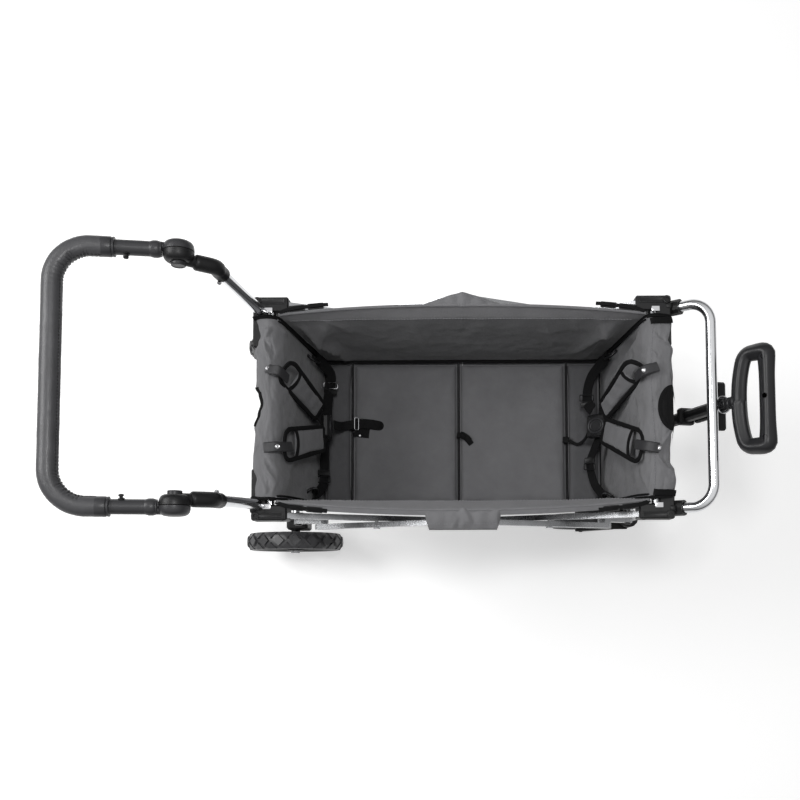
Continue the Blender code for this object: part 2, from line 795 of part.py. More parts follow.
def cross_bar(end, hand):
    """The bar from a sliding sleeve up to the middle of the rim; it steps outwards near the sleeve."""
    e, s = ENDS[end], HANDS[hand]
    slider, middle = (e * PIVOT_X, SLIDER_Z), (0.0, PIVOT_Z)
    crossing = (e * PIVOT_X / 2, CROSSING_Z)
    inner_end = point_on(slider, middle, JOGGLE_AT + JOGGLE_LENGTH / 2)
    outer_from = point_on(slider, middle, JOGGLE_AT)
    step_from = point_on(slider, middle, JOGGLE_AT)
    step_to = point_on(slider, middle, JOGGLE_AT + JOGGLE_LENGTH / 2)
    outer_face = OUTER_BAR_Y + BAR_THICKNESS
    bar = lapped_bar(s, outer_from, middle, OUTER_BAR_Y, outer_half=end == "front")
    bar = joined(
        bar,
        bar_plate(s, slider, inner_end, BAR_Y, BAR_Y + BAR_THICKNESS),
        bar_plate(
            s,
            step_from,
            step_to,
            BAR_Y + BAR_THICKNESS / 2,
            OUTER_BAR_Y + BAR_THICKNESS / 2,
            BAR_HEIGHT * 0.9,
        ),
    )
    bar = cut(bar, hole(s, slider, BAR_Y, BAR_Y + BAR_THICKNESS), hole(s, crossing, OUTER_BAR_Y, outer_face))
    if end == "rear":
        bar = joined(bar, headed_pin(s, middle, OUTER_BAR_Y + BAR_THICKNESS / 4, outer_face + CHEEK_GAP))
    else:
        bar = cut(bar, hole(s, middle, OUTER_BAR_Y, outer_face))
    keep(f"cross_bar_{end}_{hand}", bar, "aluminium", side(s, crossing[0], OUTER_BAR_Y, crossing[1]))


def sleeve(end, hand):
    """The plastic sleeve that slides on a post and carries the lower eye of a cross bar."""
    e, s = ENDS[end], HANDS[hand]
    reach = POST_RADIUS + SLEEVE_WALL
    ear_y = BAR_Y - EAR_GAP
    low, high = SLIDER_Z - SLEEVE_HEIGHT / 2, SLIDER_Z + SLEEVE_HEIGHT / 2
    body = block(
        side(s, e * (POST_X - reach), POST_Y - reach, low),
        side(s, e * (POST_X + reach), ear_y, high),
        FINE_EDGE,
    )
    ear = block(
        side(s, e * (PIVOT_X - EAR_REACH), POST_Y, SLIDER_Z - EAR_HEIGHT / 2),
        side(s, e * POST_X, ear_y, SLIDER_Z + EAR_HEIGHT / 2),
        FINE_EDGE,
    )
    bore = rod(
        side(s, e * POST_X, POST_Y, low - OVERCUT),
        side(s, e * POST_X, POST_Y, high + OVERCUT),
        POST_RADIUS + PIN_CLEARANCE,
    )
    pin = headed_pin(s, (e * PIVOT_X, SLIDER_Z), ear_y - PIN_SUNK, BAR_Y + BAR_THICKNESS + CHEEK_GAP)
    piece = joined(cut(joined(body, ear), bore), pin)
    keep(f"sleeve_{end}_{hand}", piece, "black_plastic", side(s, e * PIVOT_X, ear_y, SLIDER_Z))


def hinge_cover(hand):
    """The stitched tent over the hinge at the middle of a side: a roof and an outer flap."""
    s = HANDS[hand]
    inner_y = RIM_HALF_WIDTH + FABRIC_THICKNESS / 2 + GAP
    roof = block(
        side(s, -COVER_HALF_LENGTH, inner_y, COVER_ROOF_Z),
        side(s, COVER_HALF_LENGTH, COVER_OUTER_Y, COVER_ROOF_Z + COVER_THICKNESS),
    )
    flap = block(
        side(s, -COVER_HALF_LENGTH, COVER_OUTER_Y - COVER_THICKNESS, COVER_ROOF_Z - COVER_DROP),
        side(s, COVER_HALF_LENGTH, COVER_OUTER_Y, COVER_ROOF_Z + COVER_THICKNESS),
    )
    keep(
        f"hinge_cover_{hand}",
        bevelled(joined(roof, flap), SOFT_EDGE),
        "grey_fabric",
        side(s, 0, inner_y, PIVOT_Z),
    )


def side_wall(hand):
    """The basket's side: a fabric sheet that leans out and bows a little at the middle of its rim."""
    s = HANDS[hand]
    bm = bmesh.new()
    bmesh.ops.create_grid(bm, x_segments=8, y_segments=3, size=1.0)
    for vert in bm.verts:
        u, v = vert.co.x, (vert.co.y + 1) / 2
        bow = (RIM_HALF_WIDTH - RIM_CORNER_HALF_WIDTH) * (1 - u * u)
        width = FLOOR_HALF_WIDTH + (RIM_CORNER_HALF_WIDTH + bow - FLOOR_HALF_WIDTH) * v
        length = FLOOR_HALF_LENGTH + (RIM_HALF_LENGTH - FLOOR_HALF_LENGTH) * v
        vert.co = (u * length, s * width, FLOOR_Z + (RIM_Z - FLOOR_Z) * v)
    bmesh.ops.recalc_face_normals(bm, faces=bm.faces)
    sheet = from_bmesh(bm)
    step = sheet.modifiers.new("thickness", "SOLIDIFY")
    step.thickness = FABRIC_THICKNESS
    step.offset = 0.0
    bpy.context.view_layer.update()
    keep(f"side_wall_{hand}", evaluated(sheet), "grey_fabric")


def end_wall(end):
    """The basket's end: a rim rolled over the top rail, a leaning sheet and the padded strip at its foot."""
    e = ENDS[end]
    half, rim = END_WALL_FOOT_HALF_WIDTH, END_WALL_RIM_HALF_WIDTH
    sheet = block((-1, -1, -1), (1, 1, 1))
    for vert in sheet.data.vertices:
        top = vert.co.z > 0
        x = wall_x(TOP_RAIL_Z - RAIL_RADIUS if top else FLOOR_Z)
        z = TOP_RAIL_Z - RAIL_RADIUS - GAP if top else FLOOR_Z
        side_y = rim if top else half
        vert.co = (e * x + vert.co.x * FABRIC_THICKNESS / 2, vert.co.y * side_y, z)
    roll = rod(
        (e * TOP_RAIL_X, -rim, TOP_RAIL_Z),
        (e * TOP_RAIL_X, rim, TOP_RAIL_Z),
        RAIL_RADIUS + GAP + ROLL_WALL,
        SIDES,
    )
    bore = rod(
        (e * TOP_RAIL_X, -rim - OVERCUT, TOP_RAIL_Z),
        (e * TOP_RAIL_X, rim + OVERCUT, TOP_RAIL_Z),
        RAIL_RADIUS + GAP,
        SIDES,
    )
    pad = cushion(
        (min(e * FLOOR_HALF_LENGTH, e * (SEAM_X + END_PAD_START)), -PAD_HALF_WIDTH, FLOOR_Z),
        (max(e * FLOOR_HALF_LENGTH, e * (SEAM_X + END_PAD_START)), PAD_HALF_WIDTH, FLOOR_Z + PAD_HEIGHT),
        None,
        4,
    )
    wall = cut(joined(sheet, roll, pad), bore)
    keep(f"{end}_end_wall", wall, "grey_fabric")


def floor_board(end):
    """A board hinged on the shelf, with its two barrels beside the shelf's own."""
    e = ENDS[end]
    low, high = BOARD_Z - BOARD_THICKNESS / 2, BOARD_Z + BOARD_THICKNESS / 2
    edge = SEAM_X - BARREL_RADIUS - BARREL_CLEARANCE
    board = block((e * BOARD_INNER_X, -BOARD_HALF_WIDTH, low), (e * edge, BOARD_HALF_WIDTH, high))
    pieces = []
    for s in HANDS.values():
        near, far = BARREL_LENGTH + GAP, 2 * BARREL_LENGTH
        pieces.append(
            rod(side(s, e * SEAM_X, near, BOARD_Z), side(s, e * SEAM_X, far, BOARD_Z), BARREL_RADIUS),
        )
        pieces.append(block(side(s, e * (edge - BARREL_LAP), near, low), side(s, e * SEAM_X, far, high)))
    keep(f"{end}_floor_board", joined(board, *pieces), "black_plastic", (e * SEAM_X, 0, BOARD_Z))


def floor_pad(end):
    """The sewn cushion on a floor board, from the folding seam to the middle of the basket."""
    e = ENDS[end]
    inner, outer = PAD_SEAM_GAP, SEAM_X - PAD_SEAM_GAP + END_PAD_START / 2
    z = BOARD_Z + BOARD_THICKNESS / 2 + GAP + BARREL_RADIUS / 2
    low = (min(e * inner, e * outer), -PAD_HALF_WIDTH, z)
    high = (max(e * inner, e * outer), PAD_HALF_WIDTH, FLOOR_Z + PAD_HEIGHT)
    keep(f"{end}_floor_pad", cushion(low, high), "grey_fabric", (e * SEAM_X, 0, BOARD_Z))


def wheel_turned(profile, centre):
    """A turned wheel part whose facets lie flat on the floor, at its profile's own radius."""
    half_step = math.pi / WHEEL_SIDES
    obj = turned([(r / math.cos(half_step), h) for r, h in profile], (0, 0, 0))
    obj.data.transform(Matrix.Translation(centre) @ Matrix.Rotation(half_step, 4, "Y"))
    return obj


def wheel_profile(outer, width, inner, steps=3):
    """A tyre's section: a round-shouldered tread down to a flat seat on the rim."""
    half = width / 2
    shoulder = min(half, outer - inner) * 0.55
    points = [(inner, half * 0.8)]
    for k in range(steps + 1):
        angle = math.pi / 2 * k / steps
        points.append(
            (outer - shoulder + shoulder * math.sin(angle), half - shoulder + shoulder * math.cos(angle)),
        )
    points += [(r, -h) for r, h in reversed(points[1:])]
    points.append((inner, -half * 0.8))
    return points


def spoked_rim(radius, width, bore):
    """A moulded wheel: a rim ring, a hub and spokes, with the axle's bore."""
    half = width / 2
    section = [(radius - RIM_LIP, half * 0.7), (radius - RIM_STEP, half * 0.8), (radius, half * 0.75)]
    ring = wheel_turned(section + [(r, -h) for r, h in reversed(section)], (0, 0, 0))
    hub = rod((0, -half, 0), (0, half, 0), HUB_RADIUS)
    spokes = []
    for k in range(SPOKES):
        turn = Matrix.Rotation(2 * math.pi * k / SPOKES, 4, "Y")
        inner = (HUB_RADIUS * 0.6, -half * 0.45, -SPOKE_HALF_WIDTH)
        spoke = block(inner, (radius - SPOKE_SHORT, half * 0.45, SPOKE_HALF_WIDTH), BLOCK_EDGE)
        spoke.data.transform(turn)
        spokes.append(spoke)
    axle = rod((0, -width, 0), (0, width, 0), bore)
    return cut(joined(ring, hub, *spokes), axle)


def rear_wheel(hand):
    """A tyre on a spoked wheel that turns on the axle."""
    s = HANDS[hand]
    centre = side(s, -AXLE_X, REAR_WHEEL_Y, REAR_WHEEL_RADIUS)
    seat = REAR_WHEEL_RADIUS - REAR_TYRE_DEPTH
    tyre = wheel_turned(wheel_profile(REAR_WHEEL_RADIUS, REAR_WHEEL_WIDTH, seat + GAP), centre)
    keep(f"rear_tyre_{hand}", tyre, "rubber", centre)
    rim = spoked_rim(seat, REAR_WHEEL_WIDTH, AXLE_RADIUS + PIN_CLEARANCE)
    rim.data.transform(Matrix.Translation(centre))
    keep(f"rear_rim_{hand}", rim, "black_plastic", centre)


def rear_axle():
    """The steel axle with a cap outside each rear wheel."""
    end_y = REAR_WHEEL_Y + REAR_WHEEL_WIDTH / 2 + AXLE_PROUD
    shaft = rod(
        (-AXLE_X, -end_y, REAR_WHEEL_RADIUS),
        (-AXLE_X, end_y, REAR_WHEEL_RADIUS),
        AXLE_RADIUS,
        PIN_SIDES,
    )
    caps = [
        rod(
            side(s, -AXLE_X, end_y - AXLE_CAP_IN, REAR_WHEEL_RADIUS),
            side(s, -AXLE_X, end_y + AXLE_CAP_OUT, REAR_WHEEL_RADIUS),
            AXLE_RADIUS * 2,
            PIN_SIDES,
        )
        for s in HANDS.values()
    ]
    keep("rear_axle", joined(shaft, *caps), "steel")


def axle_block(hand):
    """The moulded foot of a rear post, which carries the axle and the brake bar's end."""
    s = HANDS[hand]
    middle_x = (POST_X + AXLE_X) / 2
    inner_y = POST_Y - AXLE_BLOCK_WIDTH / 2 + AXLE_BLOCK_OUT
    top_z = REAR_WHEEL_RADIUS + AXLE_BLOCK_HEIGHT / 2
    outer_y = inner_y + AXLE_BLOCK_WIDTH
    low = side(s, -middle_x - AXLE_BLOCK_LENGTH / 2, inner_y, top_z - AXLE_BLOCK_HEIGHT)
    high = side(s, -middle_x + AXLE_BLOCK_LENGTH / 2, outer_y, top_z)
    body = block(low, high, AXLE_BLOCK_EDGE)
    boss = rod(
        side(s, -AXLE_X, outer_y - BOSS_LAP, REAR_WHEEL_RADIUS),
        side(s, -AXLE_X, REAR_WHEEL_Y - REAR_WHEEL_WIDTH / 2 - GAP, REAR_WHEEL_RADIUS),
        AXLE_RADIUS * 2,
    )
    axle = rod(
        side(s, -AXLE_X, inner_y - OVERCUT, REAR_WHEEL_RADIUS),
        side(s, -AXLE_X, REAR_WHEEL_Y, REAR_WHEEL_RADIUS),
        AXLE_RADIUS + GAP,
        PIN_SIDES,
    )
    post = rod(
        side(s, -POST_X, POST_Y, REAR_POST_FOOT_Z - GAP),
        side(s, -POST_X, POST_Y, top_z + OVERCUT),
        POST_RADIUS + GAP,
    )
    socket = rod(
        side(s, -BRAKE_X, inner_y - OVERCUT, BRAKE_Z),
        side(s, -BRAKE_X, inner_y + BRAKE_SOCKET, BRAKE_Z),
        BRAKE_BAR_RADIUS + PIN_CLEARANCE,
    )
    keep(f"axle_block_{hand}", cut(joined(body, boss), axle, post, socket), "black_plastic")


def brake_pedal():
    """The foot brake: a bar that turns in both axle blocks, with a pedal behind it."""
    end_y = POST_Y - AXLE_BLOCK_WIDTH / 2 + AXLE_BLOCK_OUT + BRAKE_SOCKET - GAP
    bar = rod((-BRAKE_X, -end_y, BRAKE_Z), (-BRAKE_X, end_y, BRAKE_Z), BRAKE_BAR_RADIUS)
    pedal = block(
        (-BRAKE_X - PEDAL_LENGTH, -PEDAL_WIDTH / 2, BRAKE_Z - PEDAL_THICKNESS / 2),
        (-BRAKE_X, PEDAL_WIDTH / 2, BRAKE_Z + PEDAL_THICKNESS / 2),
        BLOCK_EDGE,
    )
    keep("brake_pedal", joined(bar, pedal), "black_plastic", (-BRAKE_X, 0, BRAKE_Z))


def caster_housing(hand):
    """The ribbed socket under a front post, in which the fork's stem turns."""
    s = HANDS[hand]
    low = FORK_TOP_Z + GAP
    ribs = 3
    pitch = (HOUSING_TOP_Z - low) / ribs
    profile = [(0.0, HOUSING_TOP_Z)]
    for k in range(ribs):
        top = HOUSING_TOP_Z - k * pitch
        profile += [(HOUSING_RADIUS - RIB_DEPTH, top), (HOUSING_RADIUS, top - pitch * 0.25)]
        profile += [(HOUSING_RADIUS, top - pitch * 0.7), (HOUSING_RADIUS - RIB_DEPTH, top - pitch * 0.95)]
    profile.append((0.0, low))
    body = turned(profile, side(s, POST_X, POST_Y, 0), "Z", SIDES)
    post = rod(
        side(s, POST_X, POST_Y, FRONT_POST_FOOT_Z - GAP),
        side(s, POST_X, POST_Y, HOUSING_TOP_Z + OVERCUT),
        POST_RADIUS + GAP,
    )
    stem = rod(
        side(s, POST_X, POST_Y, low - OVERCUT),
        side(s, POST_X, POST_Y, FRONT_POST_FOOT_Z - GAP),
        STEM_RADIUS + PIN_CLEARANCE,
    )
    keep(f"caster_housing_{hand}", cut(body, post, stem), "black_plastic")


def caster(hand):
    """A trailing fork under its housing, and the wheel between its arms."""
    s = HANDS[hand]
    stem_axis = side(s, POST_X, POST_Y, 0)
    hub_x = POST_X - CASTER_TRAIL
    arm_inner = CASTER_WIDTH / 2 + FORK_SIDE_GAP
    arm_outer = arm_inner + FORK_ARM_THICKNESS
    low = FORK_TOP_Z - FORK_PLATE
    plate = rod(
        stem_axis + Vector((0, 0, low)),
        stem_axis + Vector((0, 0, FORK_TOP_Z)),
        HOUSING_RADIUS - RIB_DEPTH,
        SIDES,
    )
    bridge = block(
        (hub_x + CASTER_RADIUS * 0.55, s * POST_Y - arm_outer, low),
        (POST_X, s * POST_Y + arm_outer, FORK_TOP_Z),
        FINE_EDGE,
    )
    stem = rod(stem_axis + Vector((0, 0, low)), stem_axis + Vector((0, 0, STEM_TOP_Z)), STEM_RADIUS)
    pieces = [bridge, stem]
    bend = (hub_x + CASTER_RADIUS * 0.72, FORK_TOP_Z - FORK_ARM_WIDTH / 2)
    for side_sign in (1, -1):
        low_y, high_y = sorted((s * POST_Y + side_sign * arm_inner, s * POST_Y + side_sign * arm_outer))
        arm = slot_shape((hub_x, CASTER_RADIUS), bend, FORK_ARM_WIDTH / 2)
        pieces.append(flat([arm], high_y - low_y, upright(low_y, high_y)))
    axle = rod(
        (hub_x, s * POST_Y - arm_outer - HEAD_PROUD, CASTER_RADIUS),
        (hub_x, s * POST_Y + arm_outer + HEAD_PROUD, CASTER_RADIUS),
        CASTER_AXLE_RADIUS,
        PIN_SIDES,
    )
    fork = joined(plate, *pieces, axle)
    keep(f"caster_fork_{hand}", fork, "black_plastic", stem_axis + Vector((0, 0, low)))
    centre = side(s, hub_x, POST_Y, CASTER_RADIUS)
    hub_half = CASTER_WIDTH / 2 + FORK_SIDE_GAP - GAP
    profile = [
        (HUB_RADIUS * 0.6, hub_half),
        (HUB_RADIUS * 0.9, CASTER_WIDTH * 0.25),
        (CASTER_RADIUS * 0.74, CASTER_WIDTH * 0.25),
    ]
    tread = wheel_profile(CASTER_RADIUS, CASTER_WIDTH, CASTER_RADIUS * 0.78, 2)
    profile += tread
    profile += [(r, -h) for r, h in reversed(profile[:3])]
    bore = CASTER_AXLE_RADIUS + PIN_CLEARANCE
    profile = [(bore, hub_half), *profile, (bore, -hub_half)]
    wheel = wheel_turned(profile, centre)
    keep(f"caster_wheel_{hand}", wheel, "rubber", centre)


def elbow_base(hand):
    """The lower half of an elbow: a socket on the post's top and the disc that the handle turns on."""
    s = HANDS[hand]
    top = REAR_POST_TOP
    below = side(s, *rear_post_route(1)[-2])
    aim = (side(s, *top) - below).normalized()
    start = side(s, *top) - aim * SOCKET_REACH
    joint = side(s, -ELBOW_X, ELBOW_SPLIT_Y - ELBOW_HALF / 2, ELBOW_Z)
    arm = tube(rounded([start, side(s, *top) + aim * ELBOW_AIM, joint], ELBOW_BEND, 4), SOCKET_RADIUS)
    disc = rod(
        side(s, -ELBOW_X, ELBOW_SPLIT_Y - ELBOW_HALF, ELBOW_Z),
        side(s, -ELBOW_X, ELBOW_SPLIT_Y - GAP / 2, ELBOW_Z),
        ELBOW_RADIUS,
        SIDES,
    )
    post = tube(extended(rear_post_route(s), GAP), POST_RADIUS + GAP)
    beyond = block(
        side(s, -ELBOW_X - 2 * ELBOW_RADIUS, ELBOW_SPLIT_Y - GAP / 2, ELBOW_Z - 4 * ELBOW_RADIUS),
        side(s, -ELBOW_X + 4 * ELBOW_RADIUS, ELBOW_SPLIT_Y + 2 * ELBOW_RADIUS, ELBOW_Z + 2 * ELBOW_RADIUS),
    )
    well = button_well(s, PIN_CLEARANCE)
    piece = cut(joined(arm, disc), post, beyond, well)
    keep(f"elbow_base_{hand}", piece, "black_plastic")


def extended(route, length):
    """The route with its last point moved on by a length."""
    last = route[-1] + (route[-1] - route[-2]).normalized() * length
    return [*route[:-1], last]


def button_well(s, more):
    """The cutter of the well that an elbow button slides in."""
    inner = ELBOW_SPLIT_Y - ELBOW_HALF
    return rod(
        side(s, -ELBOW_X, inner - OVERCUT, ELBOW_Z),
        side(s, -ELBOW_X, inner + ELBOW_BUTTON_DEPTH + more, ELBOW_Z),
        ELBOW_BUTTON_RADIUS + more,
    )


def elbow_button(hand):
    """The button that frees an elbow of the push handle."""
    s = HANDS[hand]
    inner = ELBOW_SPLIT_Y - ELBOW_HALF
    start = side(s, -ELBOW_X, inner - ELBOW_BUTTON_PROUD, ELBOW_Z)
    end = side(s, -ELBOW_X, inner + ELBOW_BUTTON_DEPTH / 2, ELBOW_Z)
    button = bevelled(rod(start, end, ELBOW_BUTTON_RADIUS), SOFT_EDGE)
    keep(f"elbow_button_{hand}", button, "black_plastic", start)


def handle_z(x):
    """The height of the push handle's straight arm at a distance behind the middle."""
    return ELBOW_Z + (GRIP_Z - ELBOW_Z) * (x - ELBOW_X) / (GRIP_X - ELBOW_X)


def handle_line(start_x, bend_radius):
    """The U of the handle between the two sides, starting at a distance behind the basket's middle."""
    y = HANDLE_TUBE_Y
    corners = [
        (-start_x, y, handle_z(start_x)),
        (-GRIP_X, y, GRIP_Z),
        (-GRIP_X, -y, GRIP_Z),
        (-start_x, -y, handle_z(start_x)),
    ]
    return rounded(corners, bend_radius)


def push_handle():
    """The U-shaped tube with its elbow discs and collars, and the leather sleeve that is the grip."""
    frame = tube(handle_line(ELBOW_X + ELBOW_RADIUS / 2, GRIP_BEND_RADIUS), HANDLE_TUBE_RADIUS)
    pieces = []
    for s in HANDS.values():
        pieces.append(
            rod(
                side(s, -ELBOW_X, ELBOW_SPLIT_Y + GAP / 2, ELBOW_Z),
                side(s, -ELBOW_X, ELBOW_SPLIT_Y + ELBOW_HALF, ELBOW_Z),
                ELBOW_RADIUS,
                SIDES,
            ),
        )
        pieces.append(collar(s))
    frame = joined(frame, *pieces)
    cheeks = [
        block(
            side(s, -ELBOW_X - 1.3 * ELBOW_RADIUS, ELBOW_SPLIT_Y - 0.03, ELBOW_Z - 0.04),
            side(s, -ELBOW_X + 1.3 * ELBOW_RADIUS, ELBOW_SPLIT_Y + GAP / 2, ELBOW_Z + 0.04),
        )
        for s in HANDS.values()
    ]
    frame = cut(frame, *cheeks)
    keep("push_handle_frame", frame, "black_plastic", (-ELBOW_X, 0, ELBOW_Z))
    start = COLLAR_X + COLLAR_LENGTH / 2 + GAP
    leather = tube(handle_line(start, GRIP_BEND_RADIUS), GRIP_RADIUS)
    core = tube(handle_line(start - OVERCUT, GRIP_BEND_RADIUS), HANDLE_TUBE_RADIUS + GAP)
    keep("leather_grip", cut(leather, core), "leather", (-ELBOW_X, 0, ELBOW_Z))


def collar(s):
    """The collar where an arm of the push handle meets its tube."""
    x0, x1 = COLLAR_X - COLLAR_LENGTH / 2, COLLAR_X + COLLAR_LENGTH / 2
    return rod(
        side(s, -x0, HANDLE_TUBE_Y, handle_z(x0)),
        side(s, -x1, HANDLE_TUBE_Y, handle_z(x1)),
        COLLAR_RADIUS,
    )


def pull_frame():
    """The pull handle's own frame: Z along the tube from its pivot."""
    return Matrix.Translation((PULL_PIVOT_X, 0, PULL_PIVOT_Z)) @ Matrix.Rotation(PULL_LEAN, 4, "Y")


def pull_bracket():
    """The clevis on the front frame's middle rail that carries the pull handle."""
    inner = PULL_TUBE_RADIUS + CHEEK_GAP
    outer = inner + CHEEK_THICKNESS
    grip_r = RAIL_RADIUS + SLEEVE_WALL
    body = block(
        (POST_X - grip_r, -outer, PULL_RAIL_Z - grip_r),
        (POST_X + grip_r, outer, PULL_RAIL_Z + grip_r),
        BLOCK_EDGE,
    )
    low, high = (POST_X, PULL_RAIL_Z), (PULL_PIVOT_X, PULL_PIVOT_Z)
    cheeks = [
        flat([slot_shape(low, high, CLEVIS_RADIUS)], CHEEK_THICKNESS, upright(y, y))
        for y in (outer - CHEEK_THICKNESS / 2, CHEEK_THICKNESS / 2 - outer)
    ]
    pin = rod(
        (PULL_PIVOT_X, -outer - HEAD_PROUD, PULL_PIVOT_Z),
        (PULL_PIVOT_X, outer + HEAD_PROUD, PULL_PIVOT_Z),
        PULL_PIN_RADIUS,
        PIN_SIDES,
    )
    reach = PULL_RAIL_HALF_WIDTH / 2
    rail = rod((POST_X, -reach, PULL_RAIL_Z), (POST_X, reach, PULL_RAIL_Z), RAIL_RADIUS + GAP)
    room = rod(
        (PULL_PIVOT_X, -inner, PULL_PIVOT_Z),
        (PULL_PIVOT_X, inner, PULL_PIVOT_Z),
        PULL_TUBE_RADIUS + CLEVIS_ROOM,
        SIDES,
    )
    keep("pull_bracket", joined(cut(joined(body, *cheeks), rail, room), pin), "black_plastic")


def pull_tubes():
    """The outer tube with its flange and lock, the inner tube that slides in it, and the D-shaped grip."""
    frame = pull_frame()
    pivot = (PULL_PIVOT_X, 0, PULL_PIVOT_Z)
    tip = PULL_TUBE_LENGTH
    outer = rod((0, 0, 1.5 * PULL_PIN_RADIUS), (0, 0, tip - FLANGE_LENGTH / 2), PULL_TUBE_RADIUS)
    eye = rod((0, -PULL_TUBE_RADIUS, 0), (0, PULL_TUBE_RADIUS, 0), PULL_TUBE_RADIUS, SIDES)
    flange = block(
        (-FLANGE_DEPTH / 2, -FLANGE_WIDTH / 2, tip - FLANGE_LENGTH),
        (FLANGE_DEPTH / 2, FLANGE_WIDTH / 2, tip),
        FLANGE_EDGE,
    )
    collar_low = block(
        (-PULL_COLLAR_HALF, -PULL_COLLAR_HALF, CLIP_FROM - PULL_COLLAR_LENGTH),
        (PULL_COLLAR_HALF, PULL_COLLAR_HALF, CLIP_FROM),
        FLANGE_EDGE,
    )
    outer = joined(outer, eye, flange, collar_low)
    bore_from = (0, 0, PULL_TUBE_RADIUS + PULL_BORE_FROM)
    bore = rod(bore_from, (0, 0, tip + 2 * OVERCUT), PULL_INNER_RADIUS + PIN_CLEARANCE, SIDES)
    pin = rod((0, -PULL_PIN_HALF, 0), (0, PULL_PIN_HALF, 0), PULL_PIN_RADIUS + PIN_CLEARANCE, PIN_SIDES)
    outer = cut(outer, bore, pin)
    outer.data.transform(frame)
    keep("pull_tube_outer", outer, "black_plastic", pivot)

    clip = block(
        (PULL_TUBE_RADIUS + GAP, -CLIP_HALF_WIDTH, CLIP_FROM + GAP),
        (PULL_TUBE_RADIUS + CLIP_DEPTH, CLIP_HALF_WIDTH, CLIP_FROM + CLIP_LENGTH),
        BLOCK_EDGE,
    )
    clip.data.transform(frame)
    keep("pull_lock_clip", clip, "black_plastic", frame @ Vector((CLIP_HINGE_OUT, 0, CLIP_FROM)))

    inner = rod(
        (0, 0, PULL_TUBE_RADIUS + INNER_TUBE_FROM),
        (0, 0, NECK_FROM - GAP),
        PULL_INNER_RADIUS,
        SIDES,
    )
    inner.data.transform(frame)
    keep("pull_tube_inner", inner, "aluminium", pivot)

    neck_top = frame @ Vector((0, 0, NECK_FROM + NECK_LENGTH))
    neck = rod(frame @ Vector((0, 0, NECK_FROM)), neck_top, NECK_RADIUS, SIDES)
    plane = Matrix.Translation(neck_top) @ Matrix.Rotation(GRIP_TILT, 4, "Y")
    grip = pull_grip_plate(plane)
    stalk = rod((0, 0, -STALK_FROM), (0, 0, STALK_TO), NECK_RADIUS, SIDES, NECK_RADIUS * 1.15)
    stalk.data.transform(plane)
    keep("pull_grip", joined(grip, stalk, neck), "black_plastic", pivot)


def rounded_box(width, low, high, corner, steps=4):
    """A rounded rectangle's outline, centred across and running from low to high."""
    points = []
    half = width / 2
    centres = (
        (half - corner, high - corner, 0),
        (corner - half, high - corner, 90),
        (corner - half, low + corner, 180),
        (half - corner, low + corner, 270),
    )
    for cx, cy, first in centres:
        for k in range(steps + 1):
            angle = math.radians(first + 90 * k / steps)
            points.append((cx + corner * math.cos(angle), cy + corner * math.sin(angle)))
    return points


def pull_grip_plate(plane):
    """The D of the grip, with its hand hole; in its plane X is across the wagon and Y runs up the grip."""
    outline = rounded_box(PULL_GRIP_WIDTH, GRIP_FOOT, PULL_GRIP_LENGTH, PULL_GRIP_CORNER)
    opening = rounded_box(
        HAND_HOLE_WIDTH,
        HAND_HOLE_FROM,
        HAND_HOLE_FROM + HAND_HOLE_LENGTH,
        HAND_HOLE_LENGTH * 0.45,
    )
    stand = plane @ Matrix(((0, 0, 1, 0), (1, 0, 0, 0), (0, 1, 0, 0), (0, 0, 0, 1)))
    plate = flat([outline, opening], PULL_GRIP_THICKNESS, stand)
    return bevelled(plate, 0.006, 1, 50)


def buckle_stand(end):
    """How a harness buckle and its yoke lean back about the buckle's centre, so that its face looks up."""
    centre = Matrix.Translation((ENDS[end] * BUCKLE_X, 0, BUCKLE_Z))
    return centre @ Matrix.Rotation(ENDS[end] * BUCKLE_TILT[end], 4, "Y") @ centre.inverted()


def harness(end):
    """Two shoulder pads on webbing, the yoke behind the buckle and the two waist straps, as one piece."""
    e = ENDS[end]
    half = FABRIC_THICKNESS / 2
    yoke_x = e * (BUCKLE_X + BUCKLE_DEPTH / 2 + GAP)
    wing_y = BUCKLE_WIDTH / 2 + YOKE_WING
    yoke_top = BUCKLE_Z + BUCKLE_HEIGHT / 2 + YOKE_RISE
    yoke = block(
        (yoke_x, -wing_y, BUCKLE_Z - BUCKLE_HEIGHT / 2),
        (yoke_x + e * STRAP_THICKNESS, wing_y, yoke_top),
    )
    stand = buckle_stand(end)
    yoke.data.transform(stand)
    down = stand.to_3x3() @ Vector((0, 0, -YOKE_RISE / 2))
    pieces = []
    for s in HANDS.values():
        top = side(s, e * (wall_x(SHOULDER_TOP_Z) - half - PAD_OFF_WALL), SHOULDER_TOP_Y, SHOULDER_TOP_Z)
        foot = stand @ side(s, yoke_x + e * STRAP_THICKNESS / 2, SHOULDER_FOOT_Y, yoke_top - STRAP_THICKNESS)
        pad_frame = facing(top, foot, (-e, 0, 0))
        length = (foot - top).length
        pad = cushion(
            (0, -SHOULDER_PAD_WIDTH / 2, 0),
            (length * 0.86, SHOULDER_PAD_WIDTH / 2, SHOULDER_PAD_HEIGHT),
            pad_frame,
            3,
        )
        pieces.append(pad)
        pieces.append(strip(top.lerp(foot, 0.6), foot + down, STRAP_WIDTH, STRAP_THICKNESS, (-e, 0, 0)))
        waist_end = side(s, e * (wall_x(WAIST_Z) - half - GAP - STRAP_THICKNESS), WAIST_Y, WAIST_Z)
        waist_start = stand @ side(s, yoke_x + e * STRAP_THICKNESS / 4, wing_y - YOKE_WING / 2, BUCKLE_Z)
        pieces.append(strip(waist_start, waist_end, STRAP_WIDTH, STRAP_THICKNESS * 0.8, (-e, 0, 0)))
    keep(f"{end}_harness", joined(yoke, *pieces), "webbing")


